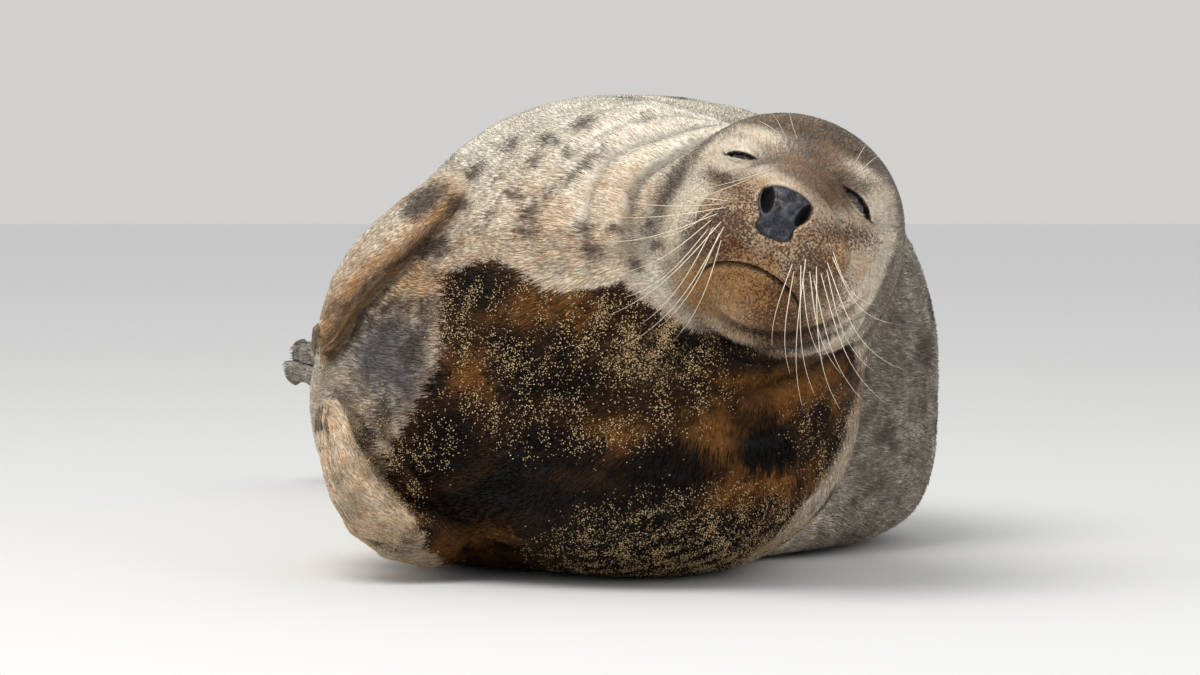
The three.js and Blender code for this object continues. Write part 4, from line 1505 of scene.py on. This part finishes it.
# %% Wet hide, sand dust and bare skin
def wet_hide(graph, at, dry):
    """The wet breast inside its dry edge."""
    rim = graph.math("MULTIPLY", graph.soft_step(at.damp, -0.55, -0.1),
                     graph.soft_step(at.damp, 0.25, 0.0))
    dry = graph.mix(graph.math("MULTIPLY", rim, 0.36), dry, HIDE["dry_edge"])
    tan = graph.total(at.tan, (at.cloud, 1.7), (at.patch, 1.2))
    brown = graph.mix(graph.soft_step(tan, 0.0, 1.3), HIDE["wet"], HIDE["wet_tan"])
    deep = graph.total(at.black, (at.cloud, 2.6), (at.ragged, 1.2))
    brown = graph.mix(graph.soft_step(deep, -0.7, 0.4, 0.0, 0.92), brown, HIDE["black"])
    brown = graph.mix(graph.soft_step(at.edge, -0.1, 0.25, 0.0, 0.95), brown, HIDE["black"])
    return graph.mix(at.wetness, dry, brown)


def dust_share(graph, at):
    """Fine dust of sand between the grains."""
    dust = graph.total((at.sand, 0.9), (at.fleck, 2.2), (at.patch, 0.8))
    return only_where(graph, graph.soft_step(dust, 0.85, 1.4, 0.0, 0.45), at.sand, 0.2)


print("wet fur is", round(HIDE["wet"][0] / HIDE["cream"][0], 3), "as bright as dry cream fur")

# %% The whole hide as one node group
def hair_shade(graph, at, value, strand):
    """Hairs differ from their neighbours; roots and hollows get painted shade, rises painted light."""
    # painted shade: tufts are painted darker at the root than towards the tip
    shade = graph.total(1.0, (at.chance, strand), (graph.math("MULTIPLY", at.tip, at.is_tuft), 0.20))
    shade = graph.math("MULTIPLY", shade, value)
    # painted shade in hollows, and a little painted light on rises
    return graph.math("MULTIPLY", shade, graph.soft_step(at.hollow, -0.6, 1.0, 1.07, 0.42))


def paint_hide():
    graph, given, out = new_group(
        "hide_paint",
        [("Value", "NodeSocketFloat", 1.0), ("Strand", "NodeSocketFloat", 0.0)],
        [("Color", "NodeSocketColor"), ("Roughness", "NodeSocketFloat"), ("Height", "NodeSocketFloat")])
    at = hide_sources(graph)
    dust = dust_share(graph, at)
    colour = wet_hide(graph, at, dry_hide(graph, at))
    colour = graph.mix(dust, colour, HIDE["sand"])
    # dark bare skin of lips and lids, and painted shade in the throat folds and the ear pits
    colour = graph.mix(at.bare, colour, HIDE["lip"])
    shade = hair_shade(graph, at, given["Value"], given["Strand"])
    varied = graph.add("ShaderNodeHueSaturation", {"Value": shade, "Color": colour})
    graph.feed(out["Color"], varied.outputs[0])
    graph.feed(out["Roughness"], graph.soft_step(at.wetness, 0.0, 1.0, 0.75, 0.42))
    graph.feed(out["Height"], graph.total((at.streak, 1.0), (at.fleck, 0.5), (dust, 0.4)))
    return graph.tree


HIDE_PAINT = paint_hide()
print("hide paint", len(HIDE_PAINT.nodes), "nodes")

# %% Skin and coat share the hide paint
def hide_material(name, value, strand, bump):
    paint = bpy.data.materials.new(name)
    paint.use_nodes = True
    graph = Graph(paint.node_tree)
    shader = paint.node_tree.nodes["Principled BSDF"]
    group = graph.add("ShaderNodeGroup", node_tree=HIDE_PAINT)
    group.inputs["Value"].default_value = value
    group.inputs["Strand"].default_value = strand
    graph.feed(shader.inputs["Base Color"], group.outputs["Color"])
    graph.feed(shader.inputs["Roughness"], group.outputs["Roughness"])
    relief = graph.add("ShaderNodeBump", {"Height": group.outputs["Height"], "Distance": bump,
                                          "Strength": 0.7})
    graph.feed(shader.inputs["Normal"], relief.outputs["Normal"])
    shader.inputs["Specular IOR Level"].default_value = 0.14
    return paint


# painted shade: the skin under the coat is painted a little darker than the tufts
SKIN_PAINT = hide_material("seal_hide", 0.97, 0.0, 1.2 * MM)
COAT_PAINT = hide_material("seal_coat", 0.99, 0.16, 0.3 * MM)
skin.data.materials.clear()
skin.data.materials.append(SKIN_PAINT)
print("materials", SKIN_PAINT.name, COAT_PAINT.name)

# %% [markdown]
# ## Leather, eyes, claws and whiskers
# The nose leather is bare, pebbled and moist, with painted sheen on its pebbles and patches, and painted
# shade makes it nearly black inside the nostrils. The eyes are dark and wet. The claws are streaked horn
# and the whiskers pale horn. Each could be painted on an image, but noise in the object's own space
# needs no image, has no seams, and can be baked later.

# %% Leather of the nose
def new_paint(name):
    paint = bpy.data.materials.new(name)
    paint.use_nodes = True
    graph = Graph(paint.node_tree)
    where = graph.add("ShaderNodeTexCoord").outputs["Object"]
    return paint, graph, where, paint.node_tree.nodes["Principled BSDF"].inputs


def leather_paint():
    paint, graph, where, surface = new_paint("nose_leather")
    pebbles = graph.add("ShaderNodeTexVoronoi", {"Vector": where, "Scale": 620.0})
    sheen_and_moist_mottle = graph.noise(where, 120, 3)
    # painted sheen: lighter blue-grey patches stand for the sheen of the moist leather
    colour = graph.mix(graph.soft_step(sheen_and_moist_mottle, -0.15, 0.2), tint(26, 28, 32), tint(68, 72, 82))
    # painted highlight: the tops of the pebbles are painted lighter
    colour = graph.mix(graph.soft_step(pebbles.outputs["Distance"], 0.45, 0.1, 0.0, 0.4), colour,
                       tint(108, 112, 122))
    chafed = graph.total(graph.noise(where, 210, 3, 0.7), (graph.noise(where, 60, 1), 0.6))
    colour = graph.mix(graph.soft_step(chafed, 0.10, 0.26, 0.0, 0.6), colour, tint(128, 110, 100))
    # painted shade: the insides of the nostrils are painted nearly black and made fully rough
    deep = graph.add("ShaderNodeAttribute", attribute_name="nostril").outputs["Fac"]
    graph.feed(surface["Base Color"], graph.mix(graph.soft_step(deep, 0.0, 0.6), colour, tint(2, 2, 2)))
    moist = graph.soft_step(sheen_and_moist_mottle, -0.2, 0.2, 0.26, 0.5)
    graph.feed(surface["Roughness"], graph.math("ADD", moist, deep, clamp=True))
    surface["Specular IOR Level"].default_value = 0.3
    height = graph.math("MULTIPLY", pebbles.outputs["Distance"], -1.0)
    relief = graph.add("ShaderNodeBump", {"Height": height, "Distance": 0.5 * MM, "Strength": 0.8})
    graph.feed(surface["Normal"], relief.outputs["Normal"])
    return paint


LEATHER = leather_paint()
print("leather", len(LEATHER.node_tree.nodes), "nodes")

# %% Wet eyes
def eye_paint():
    paint, graph, where, surface = new_paint("wet_eye")
    cloud = graph.noise(where, 160, 2)
    graph.feed(surface["Base Color"],
               graph.mix(graph.soft_step(cloud, -0.2, 0.2), tint(10, 8, 8), tint(30, 22, 18)))
    graph.feed(surface["Roughness"], graph.soft_step(cloud, -0.2, 0.2, 0.05, 0.12))
    surface["Coat Weight"].default_value = 0.6
    surface["Coat Roughness"].default_value = 0.04
    return paint


EYEBALL = eye_paint()
print("eye", len(EYEBALL.node_tree.nodes), "nodes")

# %% Horn of the claws and the whiskers
def horn_paint():
    paint, graph, where, surface = new_paint("claw_horn")
    stretch = graph.add("ShaderNodeMapping", {"Vector": where, "Scale": (1, 1, 0.3)})
    streak = graph.noise(stretch.outputs[0], 700, 3, 0.6)
    colour = graph.mix(graph.soft_step(streak, -0.2, 0.25), tint(66, 55, 45), tint(132, 114, 92))
    graph.feed(surface["Base Color"], colour)
    graph.feed(surface["Roughness"], graph.soft_step(streak, -0.2, 0.2, 0.35, 0.55))
    relief = graph.add("ShaderNodeBump", {"Height": streak, "Distance": 0.3 * MM, "Strength": 0.6})
    graph.feed(surface["Normal"], relief.outputs["Normal"])
    return paint


def whisker_paint():
    paint, graph, where, surface = new_paint("whisker")
    banding = graph.noise(where, 260, 2)
    graph.feed(surface["Base Color"],
               graph.mix(graph.soft_step(banding, -0.2, 0.2), tint(232, 216, 184), tint(250, 242, 222)))
    graph.feed(surface["Roughness"], graph.soft_step(banding, -0.2, 0.2, 0.3, 0.45))
    return paint


HORN = horn_paint()
WHISKER = whisker_paint()
print("horn", len(HORN.node_tree.nodes), "nodes")

# %% Paint the small pieces
def painted(thing, paint):
    thing.data.materials.clear()
    thing.data.materials.append(paint)


painted(nose_leather, LEATHER)
painted(whiskers, WHISKER)
painted(brow_whiskers, WHISKER)
CLAWS = sorted(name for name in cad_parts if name.startswith("claw_"))
for name in CLAWS:
    painted(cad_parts[name], HORN)
for name in ("eye_right", "eye_left"):
    painted(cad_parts[name], EYEBALL)
    shade_smooth(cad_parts[name].data)
print("painted", len(CLAWS), "claws")

# %% [markdown]
# ## The coat
# A seal's coat is short, dense and flat. Here it is many thousand thin tufts, each a slim spike with
# a ridge along its back, made in bulk from arrays and joined into a few pieces. A tuft takes its
# markings from the skin at its root, so the coat and the skin always agree. It lies along the flow
# of the coat: away from the nose over the head, then along the body to the tail, and down each
# flipper to its tip.

# %% Which way the coat lies on the flippers
def limb_ways(points):
    """How near each point is to a flipper, and the way from that flipper's root to its tip."""
    share = np.zeros(len(points))
    way = np.zeros((len(points), 3))
    for name in FLIPPERS:
        own = near_mesh(points, [name], 14 * MM)
        _, tip, root = toes_of(name)
        way[own > share] = (tip - root) / np.linalg.norm(tip - root)
        share = np.maximum(share, own)
    return np.minimum(share * 1.6, 1), way


print("points on the flippers", int((limb_ways(SKIN_POINTS)[0] > 0.5).sum()))

# %% Which way the coat lies everywhere
HEAD_MIDDLE = (0, 60, -50)


def away_from(points, place):
    """From a place of the head's frame, in millimetres, to each point of the skin."""
    return points - np.array(HEAD @ (Vector(place) * MM))


def coat_flow(points, normals):
    """The way the coat lies at each point, along the surface."""
    _, _, way = along_axis(points)
    from_nose = away_from(points, NOSE_TIP)
    from_head = away_from(points, HEAD_MIDDLE)
    reach = np.linalg.norm(from_head, axis=1)
    from_nose /= np.linalg.norm(from_nose, axis=1)[:, None]
    from_head /= reach[:, None]
    ring = (1 - ramp(reach, 0.17, 0.52))[:, None]
    flow = way * (1 - ring) + (0.75 * from_head + 0.35 * way) * ring
    head = near_head(points, 120, 180)[:, None]
    flow = flow * (1 - head) + from_nose * head
    limb, limb_way = limb_ways(points)
    flow = flow * (1 - limb[:, None]) + limb_way * limb[:, None]
    # gentle waves, so that neighbouring tufts part and close again
    side = np.cross(normals, flow)
    sway = 0.30 * waves(points, 0.16, 31, 2) + 0.10 * waves(points, 0.035, 32, 2)
    flow = flow + side * (sway * (1 - 0.6 * near_head(points, 110, 160)))[:, None]
    flow -= normals * np.sum(flow * normals, axis=1)[:, None]
    return flow / np.maximum(np.linalg.norm(flow, axis=1), 1e-6)[:, None]


FLOW = smoothed(mesh, coat_flow(SKIN_POINTS, SKIN_NORMALS), np.full(len(SKIN_POINTS), 0.5), 4)
print("the coat flows, on the whole, along", FLOW.mean(axis=0).round(2))

# %% How long, wide and raised the tufts are at every point of the skin
SIZES = {  # millimetres: length, width, height of the tip over the skin
    "body": (15.0, 2.5, 2.6),
    "wet": (17.0, 3.2, 2.9),
    "neck": (9.4, 1.7, 1.5),
    "limb": (10.5, 1.9, 1.7),
    "head": (8.5, 1.5, 1.3),
    "face": (5.6, 1.05, 0.95),
    "muzzle": (3.8, 0.8, 0.7),
}


def tuft_sizes(limbs, wet, neck, head, rest):
    y = rest[:, 1]
    sizes = np.tile(np.array(SIZES["body"]), (len(y), 1))

    def blend(name, share):
        sizes[:] = sizes * (1 - share[:, None]) + np.array(SIZES[name]) * share[:, None]

    blend("wet", ramp(wet, -0.1, 0.3))
    blend("neck", neck)
    blend("limb", limbs)
    blend("head", head)
    blend("face", head * (1 - ramp(y, 10, 60)))
    inside = ramp(muzzle_edge(rest[:, 0], rest[:, 2]), -6, 16)
    blend("muzzle", head * inside * (1 - ramp(y, -40, -10)))
    return sizes


HEADNESS = near_head(SKIN_POINTS, 112, 160)
LIMBNESS = limb_share(SKIN_POINTS, 12 * MM)
NECKNESS = near_head(SKIN_POINTS, 150, 250)
TUFTS = tuft_sizes(LIMBNESS, skin_marks["marks"][:, 2], NECKNESS, HEADNESS, REST)
print("tufts are", TUFTS[:, 0].min().round(1), "to", TUFTS[:, 0].max().round(1), "mm long")

# %% Where no fur grows
def bare_places(rest):
    """One where no fur grows: the nose, the mouth line and the slits of the eyes."""
    x, y, z = rest.T
    bare = (nose_ring(x, z) < 1.03) & (y < -50)
    bare |= (abs(above_mouth(x, z)) < 1.6) & (abs(x) < MOUTH_REACH) & (y < -8)
    for eye in EYES.values():
        along, across, out = eye_places(rest, eye)
        bare |= (out > 0) & (abs(across) < slit_half(along, eye) + 1.4) & (abs(along) < eye["long"] + 1)
    return bare.astype(float)


BARE = bare_places(REST)
print("points without fur", int(BARE.sum()))

# %% Flat maps of the body and the head
def unwrap(points):
    """A flat map of the body: how far down it a point is, and how far round."""
    place, middle, way = along_axis(points)
    arm = points - middle
    across = np.cross(way, np.array((0, 0, 1.0)))
    across /= np.linalg.norm(across, axis=1)[:, None]
    upward = np.cross(across, way)
    angle = np.arctan2(np.sum(arm * across, axis=1), np.sum(arm * upward, axis=1))
    down = place / (len(AXIS) - 1)
    return np.stack([0.02 + 0.96 * down, 0.5 + 0.96 * angle / (2 * math.pi)], 1)


def head_unwrap(points):
    """A flat map of the head, as rings round the nose."""
    x, y, z = ((to_head(points) - HEAD_CORE) / 220).T
    angle = np.arctan2(x, z)
    reach = np.arctan2(np.hypot(x, z), -y) / math.pi
    return np.stack([0.5 + 0.48 * reach * np.sin(angle), 0.5 + 0.48 * reach * np.cos(angle)], 1)


print("the tail is at", unwrap(AXIS[-1:]).round(2), "of the flat map")

# %% Sow roots at random over the triangles of the skin
def corners_of(mesh):
    mesh.calc_loop_triangles()
    flat = np.empty(len(mesh.loop_triangles) * 3, dtype=np.int32)
    mesh.loop_triangles.foreach_get("vertices", flat)
    return flat.reshape(-1, 3)


CORNERS = corners_of(mesh)


def triangle_areas():
    a, b, c = (SKIN_POINTS[CORNERS[:, k]] for k in range(3))
    return np.linalg.norm(np.cross(b - a, c - a), axis=1) / 2


def sow(weight, number, chance):
    """Random roots, closer where the weight is greater: three corners and their shares for each."""
    picked = chance.choice(len(CORNERS), size=number, p=weight / weight.sum())
    first, second = chance.random(number), chance.random(number)
    over = first + second > 1
    first[over], second[over] = 1 - first[over], 1 - second[over]
    return CORNERS[picked], np.stack([1 - first - second, first, second], 1)


def spread(values, corner, share):
    """What a root takes from the three corners round it."""
    return np.einsum("nk,nkd->nd", share, values[corner])


print("the skin measures", triangle_areas().sum().round(2), "square metres")

# %% Make many small forms at once
def many_copies(name, points, faces):
    """One mesh of many small forms that share the same triangles; points are listed form by form."""
    number, corners = points.shape[:2]
    loops = (faces[None] + corners * np.arange(number)[:, None, None]).ravel()
    mesh = bpy.data.meshes.new(name)
    mesh.vertices.add(number * corners)
    mesh.vertices.foreach_set("co", points.ravel())
    mesh.loops.add(len(loops))
    mesh.loops.foreach_set("vertex_index", loops.astype(np.int32))
    mesh.polygons.add(len(loops) // 3)
    mesh.polygons.foreach_set("loop_start", np.arange(0, len(loops), 3, dtype=np.int32))
    mesh.update(calc_edges=True)
    return mesh


def write_spots(mesh, spots):
    """The place of every face corner in the flat map that the colours can be baked to."""
    mesh.uv_layers.new(name="OFBake").data.foreach_set("uv", spots.astype(np.float32).ravel())


print("triangles of the skin", len(CORNERS))

# %% Give each tuft its form
TUFT_FACES = np.array([(0, 2, 3), (1, 3, 2), (0, 3, 1), (0, 1, 2)])


def unit(ways):
    return ways / np.maximum(np.linalg.norm(ways, axis=1), 1e-6)[:, None]


def tuft_points(corner, share, chance):
    """Two feet, a ridge and a tip for every tuft."""
    root = spread(SKIN_POINTS, corner, share)
    normal = unit(spread(SKIN_NORMALS, corner, share))
    lie = spread(FLOW, corner, share)
    lie = unit(lie - normal * np.sum(lie * normal, axis=1)[:, None])
    side = np.cross(lie, normal)
    swerve = chance.normal(0, 0.16, len(root))
    lie = lie * np.cos(swerve)[:, None] + side * np.sin(swerve)[:, None]
    side = np.cross(lie, normal)
    length, width, rise = (spread(TUFTS, corner, share) * MM).T
    length *= chance.uniform(0.7, 1.25, len(root))
    width *= chance.uniform(0.75, 1.2, len(root))
    rise *= chance.uniform(0.35, 1.05, len(root))
    sunk_root = root - normal * (0.25 * width + 0.1 * MM)[:, None]
    points = np.empty((len(root), 4, 3))
    points[:, 0] = sunk_root - side * width[:, None] / 2
    points[:, 1] = sunk_root + side * width[:, None] / 2
    points[:, 2] = root + normal * (0.42 * width)[:, None] + lie * (0.22 * length)[:, None]
    points[:, 3] = root + lie * length[:, None] + normal * rise[:, None]
    points[:, :, 2] = np.maximum(points[:, :, 2], 0.25 * MM)
    return root, points


print("a tuft has", len(TUFT_FACES), "triangles")

# %% Make one piece of the coat
COVER = 2.9                       # how many tufts lie over any one spot
PIECE_LIMIT = 48500               # four triangles each, so that a piece stays under 200,000
PATCH_HALF = 0.0015               # half the width of a tuft's own patch of the bake map


def sow_tufts(wanted, chance):
    """Roots on the chosen triangles, closer where the tufts are smaller."""
    size = TUFTS[CORNERS].mean(axis=1)
    own = 0.5 * size[:, 0] * size[:, 1] * MM * MM
    weight = COVER * triangle_areas() / own * wanted * (1 - BARE[CORNERS].max(axis=1))
    return sow(weight, min(int(weight.sum()), PIECE_LIMIT), chance)


def make_coat(name, wanted, seed, flat_map):
    chance = np.random.default_rng(seed)
    corner, share = sow_tufts(wanted, chance)
    root, points = tuft_points(corner, share, chance)
    mesh = many_copies(name, points, TUFT_FACES)
    for title, values in {**skin_marks, "lie": LIE, "form": HOLLOW_SHADE}.items():
        write_points(mesh, title, np.repeat(spread(values, corner, share), 4, axis=0))
    # the strand: a tone of the tuft's own, how near the tip for the painted shade at the root,
    # and one to tell it from the skin
    tone = np.repeat(chance.normal(0, 1, len(root)).clip(-2, 2), 4)
    ends = np.tile(np.array((0.0, 0.0, 0.35, 1.0)), len(root))
    write_points(mesh, "strand", np.stack([tone, ends, 0 * tone + 1], 1))
    # each tuft is a small patch of the bake map, at its root's own place
    patch = np.array([(-1, -1), (1, -1), (0, 0), (0, 1)]) * PATCH_HALF
    spots = flat_map(root)[:, None, :] + patch[None]
    write_spots(mesh, spots[:, TUFT_FACES.ravel()])
    mesh.validate()
    thing = new_thing(name, mesh)
    painted(thing, COAT_PAINT)
    print(name, len(root), "tufts")
    return thing


print("a piece holds up to", PIECE_LIMIT, "tufts")

# %% Lay the coat, region by region
def coat_regions():
    """Which triangles of the skin each piece of the coat stands on."""
    middle = SKIN_POINTS[CORNERS].mean(axis=1)
    place, _, _ = along_axis(middle)
    head = HEADNESS[CORNERS].mean(axis=1) > 0.5
    limb = (LIMBNESS[CORNERS].mean(axis=1) > 0.5) & ~head
    ahead = to_head(middle)[:, 1] < 45
    trunk = ~head & ~limb
    return {
        "coat_face": head & ahead,
        "coat_crown": head & ~ahead,
        "coat_flippers": limb,
        "coat_neck": trunk & (place < 1.45),
        "coat_chest": trunk & (place >= 1.45) & (place < 2.35),
        "coat_shoulders": trunk & (place >= 2.35) & (place < 3.3),
        "coat_flanks": trunk & (place >= 3.3) & (place < 4.6),
        "coat_rear": trunk & (place >= 4.6),
    }


COATS = []
for number, (name, wanted) in enumerate(coat_regions().items()):
    flat_map = head_unwrap if name in ("coat_face", "coat_crown") else unwrap
    COATS.append(make_coat(name, wanted.astype(float), 100 + number, flat_map))
print("coat", seconds())

# %% [markdown]
# ## Grains of sand
# Dry grains cling to the wet breast. Each is a tiny eight-sided crystal, squashed and turned at
# random, and half sunk among the tips of the tufts. They lie thickest where the sand marking is
# strongest, and they are all one joined piece.

# %% One grain, and helpers for a mesh of grains
def corner_points(mesh):
    """The number of the point at every face corner."""
    numbers = np.empty(len(mesh.loops), dtype=np.int32)
    mesh.loops.foreach_get("vertex_index", numbers)
    return numbers


def crystal():
    """The points and the faces of one eight-sided grain."""
    form = bmesh.new()
    bmesh.ops.create_uvsphere(form, u_segments=4, v_segments=2, radius=1)
    shape = np.array([v.co for v in form.verts])
    faces = np.array([[v.index for v in f.verts] for f in form.faces])
    form.free()
    return shape, faces


def faces_turned_out(mesh):
    form = bmesh.new()
    form.from_mesh(mesh)
    bmesh.ops.recalc_face_normals(form, faces=form.faces)
    form.to_mesh(mesh)
    form.free()


print("a grain has", len(crystal()[1]), "triangles")

# %% Scatter the grains
GRAIN_COUNT = 23000
GRAIN_SIZE = (0.50 * MM, 1.10 * MM)


def sow_sand(chance):
    """Roots in clumps, thickest where the sand marking is strongest."""
    amount = np.clip(skin_marks["tints"][:, 1], 0, 1) * ramp(waves(SKIN_POINTS, 0.030, 41, 3), -0.9, 1.3)
    weight = amount[CORNERS].mean(axis=1) ** 1.3 * (1 - BARE[CORNERS].max(axis=1))
    return sow(triangle_areas() * weight, GRAIN_COUNT, chance)


def make_sand():
    chance = np.random.default_rng(7)
    corner, share = sow_sand(chance)
    rise = spread(TUFTS, corner, share)[:, 2] * MM * chance.uniform(0.5, 1.0, GRAIN_COUNT)
    root = spread(SKIN_POINTS, corner, share)
    middle = root + spread(SKIN_NORMALS, corner, share) * rise[:, None]
    middle[:, 2] = np.maximum(middle[:, 2], 1.2 * MM)
    shape, faces = crystal()
    turn = np.linalg.qr(chance.normal(size=(GRAIN_COUNT, 3, 3)))[0]
    size = chance.uniform(*GRAIN_SIZE, (GRAIN_COUNT, 1)) * chance.uniform(0.65, 1.0, (GRAIN_COUNT, 3))
    points = np.einsum("vk,nk,nkd->nvd", shape, size, turn) + middle[:, None, :]
    mesh = many_copies("sand", points, faces)
    mesh.validate()
    faces_turned_out(mesh)
    spots = unwrap(root)[:, None, :] + shape[None, :, :2] * PATCH_HALF
    write_spots(mesh, spots.reshape(-1, 2)[corner_points(mesh)])
    write_points(mesh, "grain", np.repeat(chance.random(GRAIN_COUNT), len(shape)))
    return new_thing("sand", mesh)


print("grains", GRAIN_COUNT)

# %% Paint the sand
def sand_paint():
    paint, graph, where, surface = new_paint("dry_sand")
    grain = graph.add("ShaderNodeAttribute", attribute_name="grain").outputs["Fac"]
    colour = graph.mix(graph.soft_step(grain, 0.0, 1.0), tint(178, 140, 92), tint(240, 216, 168))
    colour = graph.mix(graph.soft_step(graph.noise(where, 900, 2), -0.1, 0.3, 0.0, 0.4), colour,
                       tint(150, 112, 72))
    graph.feed(surface["Base Color"], colour)
    graph.feed(surface["Roughness"], graph.soft_step(grain, 0.0, 1.0, 0.85, 0.55))
    return paint


sand = make_sand()
painted(sand, sand_paint())
print("sand", len(sand.data.polygons), "faces", seconds())

# %% [markdown]
# ## Onto the body
# Every piece rides on the seal's one body. The skin takes the place of all the flesh, and the leather
# takes the place of the plain nose.

# %% Put every piece on the body
for thing, slot in ((skin, "coat"), (nose_leather, "nose_leather"), (whiskers, "horn"),
                    (brow_whiskers, "horn"), (sand, "coat"), *((coat, "coat") for coat in COATS)):
    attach(thing, "root")
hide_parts(*FLESH)
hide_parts("nose")
print("new pieces", 5 + len(COATS))

# %% Measure the looks box and finish
LOOKS_BOX = [list(corner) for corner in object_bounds()]
print("looks box", LOOKS_BOX, seconds())
